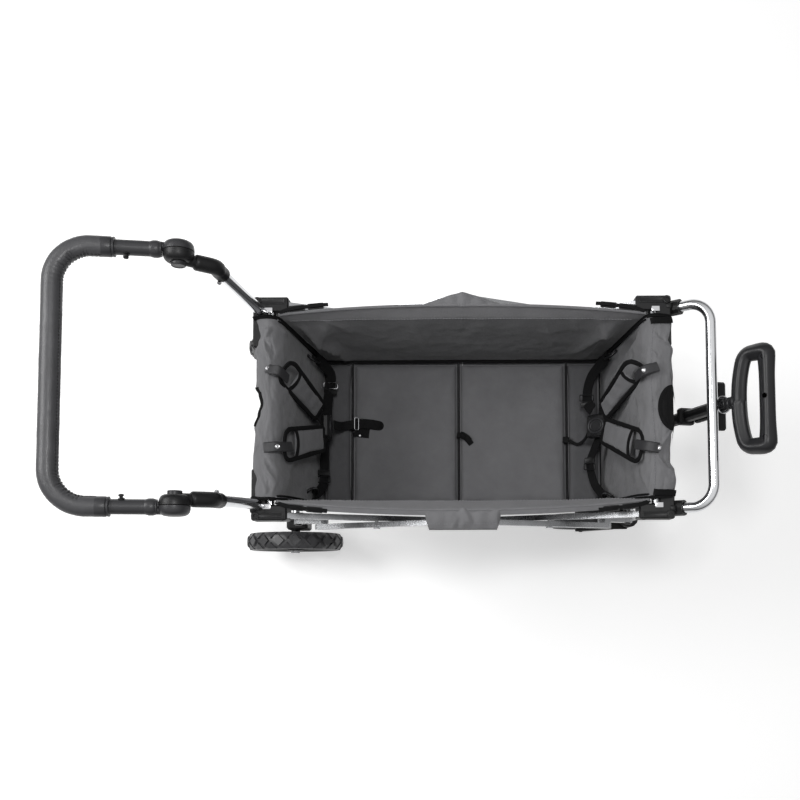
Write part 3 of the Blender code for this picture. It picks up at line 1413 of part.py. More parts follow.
def buckle(end):
    """The harness buckle with its round release button, which slides in a well."""
    e = ENDS[end]
    centre = Vector((e * BUCKLE_X, 0, BUCKLE_Z))
    half = Vector((BUCKLE_DEPTH, BUCKLE_WIDTH, BUCKLE_HEIGHT)) / 2
    face = e * (BUCKLE_X - BUCKLE_DEPTH / 2)
    body = block(centre - half, centre + half, 0.005)
    well = button_shape(face - e * OVERCUT, face + e * (BUTTON_DEPTH + BUTTON_PROUD), PIN_CLEARANCE)
    stand = buckle_stand(end)
    body = cut(body, well)
    body.data.transform(stand)
    keep(f"{end}_buckle", body, "black_plastic")
    button = bevelled(button_shape(face - e * BUTTON_PROUD, face + e * BUTTON_DEPTH, 0.0), BUTTON_EDGE)
    button.data.transform(stand)
    keep(f"{end}_buckle_button", button, "black_plastic", stand @ Vector((face, 0, BUCKLE_Z)))


def button_shape(x0, x1, more):
    """An oval prism along X for a buckle's button or its well."""
    radius = BUTTON_WIDTH / 2 + more
    rise = BUTTON_HEIGHT / 2 - BUTTON_WIDTH / 2
    outline = slot_shape((0, BUCKLE_Z - rise), (0, BUCKLE_Z + rise), radius)
    stand = Matrix.Translation(((x0 + x1) / 2, 0, 0)) @ Matrix(
        ((0, 0, 1, 0), (1, 0, 0, 0), (0, 1, 0, 0), (0, 0, 0, 1)),
    )
    return flat([outline], abs(x1 - x0), stand)


def main():
    """Builds each piece of the wagon."""
    start_clean()
    for end in ENDS:
        end_frame(end)
        end_wall(end)
        floor_board(end)
        floor_pad(end)
        harness(end)
        buckle(end)
        for hand in HANDS:
            corner_bracket(end, hand)
            long_bar(end, hand)
            cross_bar(end, hand)
            sleeve(end, hand)
    for hand in HANDS:
        side_wall(hand)
        hinge_cover(hand)
        axle_block(hand)
        rear_wheel(hand)
        caster_housing(hand)
        caster(hand)
        elbow_base(hand)
        elbow_button(hand)
    rear_axle()
    brake_pedal()
    push_handle()
    front_hoop()
    pull_bracket()
    pull_tubes()
    ends = [vert.co.x + obj.location.x for obj in made for vert in obj.data.vertices]
    middle_x = (min(ends) + max(ends)) / 2
    for obj in made:
        obj.location.x -= middle_x
    print("the basket's middle is at X", round(-middle_x, 6))


main()
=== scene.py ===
"""Looks of a folding stroller wagon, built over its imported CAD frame.

Sizes in the classes are metres from the middle of the basket, on the floor: +X towards the pull handle,
+Y to the far side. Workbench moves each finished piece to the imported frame's own middle.
"""

from __future__ import annotations

import json
import logging
import math
from dataclasses import dataclass, field
from enum import Enum
from typing import Callable, Iterable, Sequence

import bmesh
import bpy
from mathutils import Matrix, Vector, noise

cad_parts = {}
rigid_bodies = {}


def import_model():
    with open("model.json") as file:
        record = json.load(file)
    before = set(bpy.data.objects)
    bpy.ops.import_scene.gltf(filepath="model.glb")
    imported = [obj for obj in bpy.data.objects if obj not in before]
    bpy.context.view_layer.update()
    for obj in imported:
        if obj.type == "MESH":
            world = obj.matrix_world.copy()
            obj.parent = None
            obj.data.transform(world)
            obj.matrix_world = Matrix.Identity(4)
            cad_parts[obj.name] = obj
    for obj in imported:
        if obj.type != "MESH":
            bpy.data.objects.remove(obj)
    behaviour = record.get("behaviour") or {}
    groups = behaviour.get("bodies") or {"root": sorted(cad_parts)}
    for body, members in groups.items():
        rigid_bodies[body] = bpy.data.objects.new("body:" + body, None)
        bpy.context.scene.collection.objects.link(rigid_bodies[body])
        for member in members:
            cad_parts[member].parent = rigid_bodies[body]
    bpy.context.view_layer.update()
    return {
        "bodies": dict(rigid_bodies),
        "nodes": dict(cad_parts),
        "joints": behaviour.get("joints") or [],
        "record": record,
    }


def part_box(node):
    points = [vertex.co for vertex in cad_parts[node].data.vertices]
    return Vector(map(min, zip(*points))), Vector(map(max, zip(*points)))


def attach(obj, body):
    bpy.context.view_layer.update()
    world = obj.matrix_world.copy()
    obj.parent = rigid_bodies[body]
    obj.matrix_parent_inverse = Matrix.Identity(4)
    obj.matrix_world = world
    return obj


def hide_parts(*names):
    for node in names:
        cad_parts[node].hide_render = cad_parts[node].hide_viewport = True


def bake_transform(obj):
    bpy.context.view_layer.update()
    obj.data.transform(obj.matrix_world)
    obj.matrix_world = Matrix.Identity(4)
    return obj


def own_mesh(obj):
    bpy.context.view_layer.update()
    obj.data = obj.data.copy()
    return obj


log = logging.getLogger("stroller_wagon")

Point = tuple[float, float, float]
Profile = Sequence[tuple[float, float]]
Surface = Callable[[float, float], Vector]
Piece = bpy.types.Object
Tree = bpy.types.NodeTree
Socket = bpy.types.NodeSocket
Relief = tuple[Socket | None, float, float]

UP = Vector((0, 0, 1))
SMOOTH_ANGLE = math.radians(40)
POST_TOP: Point = (-0.457, 0.2165, 0.885)
POST_BEND: Point = (-0.430, 0.207, 0.680)


class End(Enum):
    """The two ends of the wagon, with their sign along X."""

    REAR = -1
    FRONT = 1

    @property
    def word(self) -> str:
        """The end's name as it stands in the frame's nodes."""
        return self.name.lower()

    @property
    def body(self) -> str:
        """The CAD body that this end's fixed pieces ride on."""
        return f"{self.word}_frame"


class Hand(Enum):
    """The two sides of the wagon, with their sign along Y."""

    LEFT = 1
    RIGHT = -1

    @property
    def word(self) -> str:
        """The side's name as it stands in the frame's nodes."""
        return self.name.lower()

    def place(self, x: float, y: float, z: float) -> Vector:
        """A place given for the left side, moved to this side."""
        return Vector((x, self.value * y, z))


# Materials

WAVE_STEP = 0.314159  # metres between the bands of a wave texture whose scale is 1
SCUFF_MM = 14.0
ROUGHNESS_SPREAD = 0.08
HIDE_CREASE_MM = 9.0


def linear(hex_colour: str) -> tuple[float, float, float, float]:
    """Turns an sRGB hex colour to the linear RGBA that Blender's sockets take.

    Args:
        hex_colour: Six hex digits after a hash.

    Returns:
        Linear red, green, blue and an alpha of 1.
    """
    digits = hex_colour.lstrip("#")
    parts = [int(digits[i : i + 2], 16) / 255 for i in (0, 2, 4)]
    curved = [c / 12.92 if c <= 0.04045 else ((c + 0.055) / 1.055) ** 2.4 for c in parts]
    return (curved[0], curved[1], curved[2], 1.0)


def per_metre(size_mm: float) -> float:
    """How many patterns of a size in millimetres lie in a metre."""
    return 1000 / size_mm


def add_node(
    tree: Tree, kind: str, settings: dict[str | int, object], links: dict[str | int, Socket]
) -> bpy.types.Node:
    """Adds a node to a tree with its settings and its incoming links.

    Args:
        tree: The tree that gets the node.
        kind: The node's class, such as ShaderNodeTexNoise.
        settings: Socket values by socket name or number, and node properties by name.
        links: Output sockets to join, by the new node's input name or number.

    Returns:
        The new node.
    """
    node = tree.nodes.new(kind)
    for name, value in settings.items():
        if isinstance(name, str) and name not in node.inputs:
            setattr(node, name, value)
    for name, value in settings.items():
        if isinstance(name, int) or name in node.inputs:
            node.inputs[name].default_value = value
    for name, source in links.items():
        tree.links.new(source, node.inputs[name])
    return node


@dataclass(frozen=True)
class Finish:
    """A real material: what it is, its colour and how shiny its surface came out.

    The base class mottles the colour and the roughness; each kind adds its own relief.
    """

    name: str
    colour: str
    roughness: float
    metallic: float = 0.0
    mottle: float = 0.12
    mottle_mm: float = 30.0
    sheen: float = 0.0
    coat: float = 0.0
    specular: float = 0.5

    def pattern_space(self, tree: Tree) -> Socket:
        """The coordinates, in metres, that the surface's own pattern follows."""
        return tree.nodes.new("ShaderNodeTexCoord").outputs["Object"]

    def relief(self, tree: Tree, space: Socket) -> Relief:
        """The surface's height pattern.

        Args:
            tree: The material's tree.
            space: The pattern's coordinates.

        Returns:
            The height socket or None, the bump's strength and its depth in metres.
        """
        return None, 0.0, 0.0

    def tone(self, tree: Tree, space: Socket) -> Socket:
        """The colour, lighter and darker in soft patches as dye, dust and handling leave it."""
        patches = add_node(
            tree, "ShaderNodeTexNoise",
            {"Scale": per_metre(self.mottle_mm), "Detail": 4.0, "Roughness": 0.6}, {"Vector": space},
        )
        base = linear(self.colour)
        ramp = add_node(tree, "ShaderNodeValToRGB", {}, {"Fac": patches.outputs["Fac"]})
        stops = ((0.3, 1 - self.mottle), (0.7, 1 + self.mottle))
        for stop, (position, share) in zip(ramp.color_ramp.elements, stops):
            stop.position = position
            stop.color = tuple(min(1.0, c * share) for c in base[:3]) + (1.0,)
        return ramp.outputs["Color"]

    def material(self) -> bpy.types.Material:
        """Builds the material, or returns it if it is already there."""
        ready = bpy.data.materials.get(self.name)
        if ready:
            return ready
        made = bpy.data.materials.new(self.name)
        made.use_nodes = True
        tree = made.node_tree
        shader = tree.nodes["Principled BSDF"]
        for name, value in (
            ("Metallic", self.metallic), ("Sheen Weight", self.sheen), ("Sheen Roughness", 0.4),
            ("Coat Weight", self.coat), ("Coat Roughness", 0.15), ("Specular IOR Level", self.specular),
        ):
            shader.inputs[name].default_value = value
        space = self.pattern_space(tree)
        tree.links.new(self.tone(tree, space), shader.inputs["Base Color"])
        scuffs = add_node(
            tree, "ShaderNodeTexNoise", {"Scale": per_metre(SCUFF_MM), "Detail": 3.0}, {"Vector": space}
        )
        spread = add_node(
            tree,
            "ShaderNodeMapRange",
            {
                "To Min": max(0.03, self.roughness - ROUGHNESS_SPREAD),
                "To Max": min(1.0, self.roughness + ROUGHNESS_SPREAD),
            },
            {"Value": scuffs.outputs["Fac"]},
        )
        tree.links.new(spread.outputs["Result"], shader.inputs["Roughness"])
        height, strength, depth = self.relief(tree, space)
        if height:
            bump = add_node(
                tree, "ShaderNodeBump", {"Strength": strength, "Distance": depth}, {"Height": height}
            )
            tree.links.new(bump.outputs["Normal"], shader.inputs["Normal"])
        return made


@dataclass(frozen=True)
class MouldedPlastic(Finish):
    """Glass-filled nylon from a spark-eroded mould: an even fine grain that keeps highlights broad."""

    grain_mm: float = 0.9

    def relief(self, tree: Tree, space: Socket) -> Relief:
        """The mould's grain; real grit is 0.1 mm, drawn at 0.9 mm so that it shows."""
        grain = add_node(
            tree, "ShaderNodeTexNoise", {"Scale": per_metre(self.grain_mm), "Detail": 2.0}, {"Vector": space}
        )
        return grain.outputs["Fac"], 0.25, 0.0004


@dataclass(frozen=True)
class DrawnAluminium(Finish):
    """Drawn aluminium tube or bar: faint lines along its length break the reflections a little."""

    line_mm: float = 1.2

    def relief(self, tree: Tree, space: Socket) -> Relief:
        """The die's lines, which run mostly along X, as the bars do."""
        turned = add_node(tree, "ShaderNodeMapping", {"Scale": (0.04, 1.0, 1.0)}, {"Vector": space})
        lines = add_node(
            tree, "ShaderNodeTexNoise", {"Scale": per_metre(self.line_mm), "Detail": 2.0},
            {"Vector": turned.outputs["Vector"]},
        )
        return lines.outputs["Fac"], 0.04, 0.0001


@dataclass(frozen=True)
class WovenCloth(Finish):
    """Plain-woven polyester with a coated back: matt, with faint crossing threads and soft dimples."""

    thread_mm: float = 1.4
    by_uv: bool = True
    pucker_mm: float = 22.0

    def pattern_space(self, tree: Tree) -> Socket:
        """The cloth's own UV map, in metres, or the object's place for a remeshed pad."""
        coords = tree.nodes.new("ShaderNodeTexCoord")
        return coords.outputs["UV" if self.by_uv else "Object"]

    def relief(self, tree: Tree, space: Socket) -> Relief:
        """Warp and weft as two crossing waves, over the slack of the cloth.

        Threads are 0.4 mm on the real cloth, drawn at 1.4 mm so that they show.
        """
        scale = WAVE_STEP / (self.thread_mm / 1000)
        waves = [
            add_node(
                tree,
                "ShaderNodeTexWave",
                {"Scale": scale, "bands_direction": way, "Distortion": 0.6, "Detail": 1.0},
                {"Vector": space},
            )
            for way in ("X", "Y")
        ]
        weave = add_node(
            tree, "ShaderNodeMath", {"operation": "MULTIPLY"},
            {0: waves[0].outputs["Fac"], 1: waves[1].outputs["Fac"]},
        )
        slack = add_node(
            tree, "ShaderNodeTexNoise",
            {"Scale": per_metre(self.pucker_mm), "Detail": 3.0, "Roughness": 0.55}, {"Vector": space},
        )
        both = add_node(
            tree, "ShaderNodeMath", {"operation": "MULTIPLY_ADD", 1: 7.0},
            {0: slack.outputs["Fac"], 2: weave.outputs["Value"]},
        )
        return both.outputs["Value"], 0.5, 0.0005


@dataclass(frozen=True)
class WovenTape(Finish):
    """Nylon or polyester webbing: a tight twill of ribs across the tape, dull black."""

    rib_mm: float = 2.2

    def pattern_space(self, tree: Tree) -> Socket:
        """The tape's own UV map: along it and across it, in metres."""
        return tree.nodes.new("ShaderNodeTexCoord").outputs["UV"]

    def relief(self, tree: Tree, space: Socket) -> Relief:
        """Diagonal ribs, 1 mm apart on the real tape, drawn at 2.2 mm."""
        ribs = add_node(
            tree, "ShaderNodeTexWave",
            {"Scale": WAVE_STEP / (self.rib_mm / 1000), "bands_direction": "DIAGONAL", "Distortion": 0.3},
            {"Vector": space},
        )
        return ribs.outputs["Fac"], 0.7, 0.0006


@dataclass(frozen=True)
class WrappedHide(Finish):
    """Foam-backed leatherette: pebbled cells with creases where it is stretched round a bend."""

    cell_mm: float = 2.4

    def relief(self, tree: Tree, space: Socket) -> Relief:
        """Pebbles of 1 mm, drawn at 2.4 mm, with longer creases between them."""
        cells = add_node(
            tree, "ShaderNodeTexVoronoi",
            {"Scale": per_metre(self.cell_mm), "feature": "DISTANCE_TO_EDGE", "Randomness": 1.0},
            {"Vector": space},
        )
        creases = add_node(
            tree, "ShaderNodeTexNoise",
            {"Scale": per_metre(HIDE_CREASE_MM), "Detail": 4.0, "Distortion": 1.2}, {"Vector": space},
        )
        both = add_node(
            tree, "ShaderNodeMath", {"operation": "MULTIPLY_ADD", 1: 1.6},
            {0: creases.outputs["Fac"], 2: cells.outputs["Distance"]},
        )
        return both.outputs["Value"], 0.45, 0.0007


@dataclass(frozen=True)
class FoamedRubber(Finish):
    """Foamed EVA tyre: dead matt with a fine open skin."""

    pore_mm: float = 1.5

    def relief(self, tree: Tree, space: Socket) -> Relief:
        """The foam's skin, with 0.3 mm pores drawn at 1.5 mm."""
        pores = add_node(
            tree, "ShaderNodeTexNoise", {"Scale": per_metre(self.pore_mm), "Detail": 3.0}, {"Vector": space}
        )
        return pores.outputs["Fac"], 0.4, 0.0006


CLOTH = WovenCloth("woven_polyester", "#6e6e70", 0.86, sheen=0.12, mottle=0.08, mottle_mm=60)
PAD_CLOTH = WovenCloth(
    "woven_polyester_pad", "#6a6a6c", 0.88, sheen=0.1, mottle=0.08, mottle_mm=70, by_uv=False
)
# The pad cloth painted darker for the two end pads: painted shade of the end walls on them.
END_PAD_PAINTED_SHADE = WovenCloth(
    "end_woven_polyester_pad", "#4e4e50", 0.88, sheen=0.1, mottle=0.08, mottle_mm=70, by_uv=False
)
TAPE = WovenTape("nylon_webbing", "#0d0d0e", 0.85, mottle=0.2, mottle_mm=12, specular=0.2)
BINDING = WovenTape(
    "polyester_binding", "#080809", 0.85, mottle=0.15, mottle_mm=10, specular=0.2, rib_mm=1.6
)
HIDE = WrappedHide(
    "foam_backed_leatherette", "#404042", 0.42, mottle=0.14, mottle_mm=40, coat=0.05, specular=0.35
)
TAB_HIDE = WrappedHide("tab_leatherette", "#2c2c2e", 0.6, mottle=0.12, mottle_mm=10, cell_mm=1.6)
PLASTIC = MouldedPlastic("spark_eroded_nylon", "#131314", 0.42, mottle=0.15, mottle_mm=25, specular=0.25)
TUBE_PLASTIC = MouldedPlastic("powder_coated_tube", "#303032", 0.36, specular=0.3, mottle=0.08, mottle_mm=50)
GRIP_PLASTIC = MouldedPlastic("grip_polypropylene", "#1e1e20", 0.36, specular=0.3, mottle=0.12, mottle_mm=30)
METAL = DrawnAluminium("drawn_aluminium", "#a2a3a5", 0.26, metallic=1.0, mottle=0.06, mottle_mm=40)
HOOP_METAL = DrawnAluminium(
    "polished_aluminium_tube", "#cfd0d2", 0.14, metallic=1.0, mottle=0.04, mottle_mm=60
)
STEEL = DrawnAluminium("nickel_plated_wire", "#c4c4c6", 0.16, metallic=1.0, mottle=0.05, line_mm=0.8)
RUBBER = FoamedRubber("foamed_eva", "#303032", 0.42, mottle=0.14, mottle_mm=18, specular=0.6)
SCREW = DrawnAluminium("blackened_screw", "#030303", 0.9, mottle=0.05, specular=0.0, line_mm=0.8)
THREAD = Finish("sewing_thread", "#7d7d80", 0.7, mottle=0.1, mottle_mm=6)
DARK_THREAD = Finish("black_sewing_thread", "#1b1b1c", 0.7, mottle=0.1, mottle_mm=6)


# Modelling helpers


def select_only(*objects: Piece) -> None:
    """Selects these objects and nothing else, and makes the first one active."""
    bpy.ops.object.select_all(action="DESELECT")
    for obj in objects:
        obj.select_set(True)
    bpy.context.view_layer.objects.active = objects[0]


def bake_modifier(obj: Piece, kind: str, settings: dict[str, object]) -> None:
    """Adds a modifier to a piece and applies it.

    Args:
        obj: The piece.
        kind: The modifier's type, such as BEVEL.
        settings: The modifier's properties by name.
    """
    step = obj.modifiers.new(kind.lower(), kind)
    for name, value in settings.items():
        setattr(step, name, value)
    select_only(obj)
    bpy.ops.object.modifier_apply(modifier=step.name)


def vectors(*places: Point) -> list[Vector]:
    """Places as vectors."""
    return [Vector(p) for p in places]


def steps(count: int, start: float = 0.0, span: float = 1.0) -> list[float]:
    """Even steps over a span, with both its ends."""
    return [start + span * k / count for k in range(count + 1)]


def circle(count: int) -> list[float]:
    """The angles of evenly spaced places round a circle."""
    return [2 * math.pi * k / count for k in range(count)]


def settle(obj: Piece) -> None:
    """Moves a piece's place into its mesh and smooths all but its sharp edges."""
    select_only(obj)
    bpy.ops.object.transform_apply(location=True, rotation=True, scale=True)
    bpy.ops.object.shade_smooth_by_angle(angle=SMOOTH_ANGLE)


def from_bmesh(name: str, bm: bmesh.types.BMesh) -> Piece:
    """Turns a bmesh into an object in the scene."""
    mesh = bpy.data.meshes.new(name)
    bm.to_mesh(mesh)
    bm.free()
    obj = bpy.data.objects.new(name, mesh)
    bpy.context.scene.collection.objects.link(obj)
    return obj


def merged(name: str, pieces: Sequence[Piece]) -> Piece:
    """Joins pieces of one finish into one object, without welding them."""
    select_only(*pieces)
    if len(pieces) > 1:
        bpy.ops.object.join()
    pieces[0].name = name
    return pieces[0]


def smooth_line(points: Sequence[Vector], step: float, closed: bool = False) -> list[Vector]:
    """A smooth curve through points, in even short steps.

    Args:
        points: The points that it passes.
        step: About how long each step is.
        closed: Whether the last point runs on to the first.

    Returns:
        The points of the curve.
    """
    count = len(points)
    spans = count if closed else count - 1
    line: list[Vector] = []
    for k in range(spans):
        p1, p2 = points[k], points[(k + 1) % count]
        p0 = points[(k - 1) % count] if closed or k else p1 - (p2 - p1)
        p3 = points[(k + 2) % count] if closed or k + 2 < count else p2 + (p2 - p1)
        pieces = max(1, round((p2 - p1).length / step))
        for j in range(pieces):
            t = j / pieces
            square, cube = 2 * p0 - 5 * p1 + 4 * p2 - p3, 3 * p1 - p0 - 3 * p2 + p3
            line.append(0.5 * (2 * p1 + (p2 - p0) * t + square * t * t + cube * t**3))
    if not closed:
        line.append(points[-1].copy())
    return line


def tube_along(
    name: str, line: Sequence[Vector], radius: float, sides: int = 10, closed: bool = False,
    swell: Callable[[float, int], float] | None = None,
) -> Piece:
    """A round tube along a line, with flat caps and UVs in metres.

    Args:
        name: The piece's name.
        line: The points of its centre.
        radius: The tube's radius.
        sides: How many faces go round it.
        closed: Whether the tube is a ring.
        swell: Adds to the radius, from the distance along and the side's number.

    Returns:
        The tube.
    """
    bm = bmesh.new()
    uv = bm.loops.layers.uv.new("UVMap")
    rings: list[list[bmesh.types.BMVert]] = []
    lengths: list[float] = []
    last = len(line) - 1
    up = UP
    first = (line[1] - line[0]).normalized()
    if abs(first.dot(up)) > 0.9:
        up = Vector((0, 1, 0))
    length = 0.0
    for k, here in enumerate(line):
        before = line[k - 1] if k or closed else here
        after = line[(k + 1) % len(line)] if k < last or closed else here
        along = (after - before).normalized()
        if k:
            length += (here - line[k - 1]).length
        side = along.cross(up).normalized()
        up = side.cross(along).normalized()
        ring = []
        for j, angle in enumerate(circle(sides)):
            r = radius + (swell(length, j) if swell else 0.0)
            ring.append(bm.verts.new(here + (side * math.cos(angle) + up * math.sin(angle)) * r))
        rings.append(ring)
        lengths.append(length)
    around = 2 * math.pi * radius / sides
    spans = range(len(rings) if closed else last)
    for k in spans:
        a, b = rings[k], rings[(k + 1) % len(rings)]
        end = lengths[k + 1] if k < last else lengths[k] + (line[0] - line[-1]).length
        for j in range(sides):
            i = (j + 1) % sides
            face = bm.faces.new((a[j], b[j], b[i], a[i]))
            spots = ((lengths[k], j), (end, j), (end, j + 1), (lengths[k], j + 1))
            for loop, (s, t) in zip(face.loops, spots):
                loop[uv].uv = (s, t * around)
    if not closed:
        bm.faces.new(rings[0])
        bm.faces.new(list(reversed(rings[-1])))
    bmesh.ops.recalc_face_normals(bm, faces=bm.faces)
    return from_bmesh(name, bm)


def tape_along(
    name: str, line: Sequence[Vector], normals: Sequence[Vector], width: float, thickness: float
) -> Piece:
    """A flat woven tape along a line, with slightly thinner edges and UVs in metres.

    Args:
        name: The piece's name.
        line: The points of its middle, on its back face.
        normals: The way its face looks, one for all points or one for each.
        width: Its width.
        thickness: Its thickness.

    Returns:
        The tape.
    """
    bm = bmesh.new()
    uv = bm.loops.layers.uv.new("UVMap")
    section = ((-0.5, 0.15), (-0.44, 0.85), (0.0, 1.0), (0.44, 0.85), (0.5, 0.15), (0.44, 0.0), (-0.44, 0.0))
    rings = []
    lengths = []
    length = 0.0
    for k, here in enumerate(line):
        before, after = line[max(0, k - 1)], line[min(len(line) - 1, k + 1)]
        along = (after - before).normalized()
        face_way = normals[min(k, len(normals) - 1)]
        face_way = (face_way - along * face_way.dot(along)).normalized()
        across = face_way.cross(along).normalized()
        if k:
            length += (here - line[k - 1]).length
        rings.append(
            [bm.verts.new(here + across * width * a + face_way * thickness * h) for a, h in section]
        )
        lengths.append(length)
    count = len(section)
    for k in range(len(rings) - 1):
        for j in range(count):
            i = (j + 1) % count
            face = bm.faces.new((rings[k][j], rings[k + 1][j], rings[k + 1][i], rings[k][i]))
            spots = (
                (lengths[k], section[j][0]), (lengths[k + 1], section[j][0]),
                (lengths[k + 1], section[i][0]), (lengths[k], section[i][0]),
            )
            for loop, (s, t) in zip(face.loops, spots):
                loop[uv].uv = (s, t * width)
    bm.faces.new(rings[0])
    bm.faces.new(list(reversed(rings[-1])))
    bmesh.ops.recalc_face_normals(bm, faces=bm.faces)
    return from_bmesh(name, bm)


def cloth_sheet(
    name: str, place: Surface, columns: int, rows: int, thickness: float, size: tuple[float, float]
) -> Piece:
    """A sheet of cloth over a surface given by two shares from 0 to 1, with a real thickness.

    Args:
        name: The piece's name.
        place: The surface.
        columns: Steps in the first share.
        rows: Steps in the second share.
        thickness: The cloth's thickness.
        size: The flat size that the UV map covers, in metres.

    Returns:
        The sheet.
    """
    bm = bmesh.new()
    uv = bm.loops.layers.uv.new("UVMap")
    verts = [[bm.verts.new(place(u, v)) for v in steps(rows)] for u in steps(columns)]
    for i in range(columns):
        for j in range(rows):
            face = bm.faces.new((verts[i][j], verts[i + 1][j], verts[i + 1][j + 1], verts[i][j + 1]))
            for loop, (a, b) in zip(face.loops, ((i, j), (i + 1, j), (i + 1, j + 1), (i, j + 1))):
                loop[uv].uv = (a / columns * size[0], b / rows * size[1])
    bmesh.ops.recalc_face_normals(bm, faces=bm.faces)
    sheet = from_bmesh(name, bm)
    bake_modifier(sheet, "SOLIDIFY", {"thickness": thickness, "offset": 0.0, "use_even_offset": True})
    return sheet


def turned_piece(name: str, profile: Profile, start: Vector, end: Vector, steps: int = 32) -> Piece:
    """A turned piece: a circle extruded ring by ring from one point to another.

    Args:
        name: The piece's name.
        profile: Radius and share of the way, ring by ring.
        start: Where the first ring stands.
        end: Where a share of 1 lies.
        steps: How many faces go round it.

    Returns:
        The piece.
    """
    length = (end - start).length
    bpy.ops.object.select_all(action="DESELECT")
    bpy.ops.mesh.primitive_circle_add(vertices=steps, radius=profile[0][0], fill_type="NGON")
    obj = bpy.context.object
    obj.name = name
    bpy.ops.object.mode_set(mode="EDIT")
    bpy.ops.transform.translate(value=(0, 0, profile[0][1] * length))
    for (r0, z0), (r1, z1) in zip(profile, profile[1:]):
        bpy.ops.mesh.extrude_region_move(TRANSFORM_OT_translate={"value": (0, 0, (z1 - z0) * length)})
        share = r1 / r0
        bpy.ops.transform.resize(value=(share, share, 1), center_override=(0, 0, z1 * length))
    bpy.ops.mesh.select_all(action="SELECT")
    bpy.ops.mesh.normals_make_consistent(inside=False)
    bpy.ops.object.mode_set(mode="OBJECT")
    way = (end - start).normalized()
    obj.matrix_world = Matrix.Translation(start) @ way.to_track_quat("Z", "Y").to_matrix().to_4x4()
    return obj


def moulded_block(
    name: str, centre: Vector, size: Vector, bevel: float, turn: Matrix | None = None, inset: float = 0.0
) -> Piece:
    """A moulded block: a cube stretched to size, its top inset and sunk, its edges rounded.

    Args:
        name: The piece's name.
        centre: Its middle.
        size: Its three sizes.
        bevel: The radius of its edges.
        turn: How it is turned about its middle.
        inset: How far in its top face is sunk, or 0 for a plain top.

    Returns:
        The block.
    """
    bpy.ops.object.select_all(action="DESELECT")
    bpy.ops.mesh.primitive_cube_add(size=1.0)
    obj = bpy.context.object
    obj.name = name
    bpy.ops.object.mode_set(mode="EDIT")
    bpy.ops.transform.resize(value=tuple(size), center_override=(0, 0, 0))
    if inset:
        bpy.ops.mesh.select_all(action="DESELECT")
        bm = bmesh.from_edit_mesh(obj.data)
        bm.select_mode = {"FACE"}
        for face in bm.faces:
            face.select_set(face.normal.z > 0.9)
        bm.select_flush_mode()
        bmesh.update_edit_mesh(obj.data)
        bpy.ops.mesh.inset(thickness=inset)
        bpy.ops.transform.translate(value=(0, 0, -inset * 0.5))
    bpy.ops.object.mode_set(mode="OBJECT")
    bake_modifier(obj, "BEVEL", {"width": bevel, "segments": 3, "limit_method": "ANGLE"})
    obj.matrix_world = Matrix.Translation(centre) @ (turn or Matrix())
    return obj


def wire_loop(name: str, centre: Vector, half: Vector, wide: float, corner: float, radius: float) -> Piece:
    """A bent wire rectangle, such as a webbing adjuster.

    Args:
        name: The piece's name.
        centre: Its middle.
        half: Half of its short way, as a vector; its long way lies across it and level.
        wide: Half of its long way.
        corner: The radius of its corners.
        radius: The wire's radius.

    Returns:
        The loop.
    """
    short = half.length
    x = half.normalized()
    z = UP - x * x.z
    z.normalize()
    y = z.cross(x)
    line = []
    for sx, sy, first in ((1, 1, 0), (-1, 1, 90), (-1, -1, 180), (1, -1, 270)):
        for k in range(4):
            angle = math.radians(first + 30 * k)
            line.append(
                centre
                + x * (sx * (short - corner) + corner * math.cos(angle))
                + y * (sy * (wide - corner) + corner * math.sin(angle))
            )
    return tube_along(name, line, radius, 8, closed=True)


def stitches(name: str, line: Sequence[Vector], pitch: float, radius: float, lift: Vector) -> Piece:
    """A row of stitches along a line, each a short thread that dips at both ends.

    Args:
        name: The piece's name.
        line: The points of the seam, in short steps.
        pitch: From one stitch to the next.
        radius: The thread's radius.
        lift: How far, and which way, a stitch stands off the cloth.

    Returns:
        The row.
    """
    bm = bmesh.new()
    spots: list[tuple[float, Vector]] = [(0.0, line[0])]
    for a, b in zip(line, line[1:]):
        spots.append((spots[-1][0] + (b - a).length, b))

    def at(distance: float) -> Vector:
        """The point at a distance along the seam."""
        for (s0, p0), (s1, p1) in zip(spots, spots[1:]):
            if distance <= s1:
                return p0.lerp(p1, (distance - s0) / max(1e-9, s1 - s0))
        return spots[-1][1]

    total = spots[-1][0]
    up = lift.normalized()
    for k in range(int(total / pitch)):
        start, end = at((k + 0.14) * pitch), at((k + 0.86) * pitch)
        along = (end - start).normalized()
        side = along.cross(up).normalized()
        rings = []
        for share, rise, thick in ((0.0, -0.4, 0.6), (0.25, 0.6, 1.0), (0.75, 0.6, 1.0), (1.0, -0.4, 0.6)):
            centre = start.lerp(end, share) + lift * rise
            rings.append(
                [
                    bm.verts.new(centre + (side * math.cos(a) + up * math.sin(a)) * radius * thick)
                    for a in (0.0, math.pi / 2, math.pi, 3 * math.pi / 2)
                ]
            )
        for a, b in zip(rings, rings[1:]):
            for j in range(4):
                i = (j + 1) % 4
                bm.faces.new((a[j], b[j], b[i], a[i]))
        bm.faces.new(rings[0])
        bm.faces.new(list(reversed(rings[-1])))
    bmesh.ops.recalc_face_normals(bm, faces=bm.faces)
    return from_bmesh(name, bm)


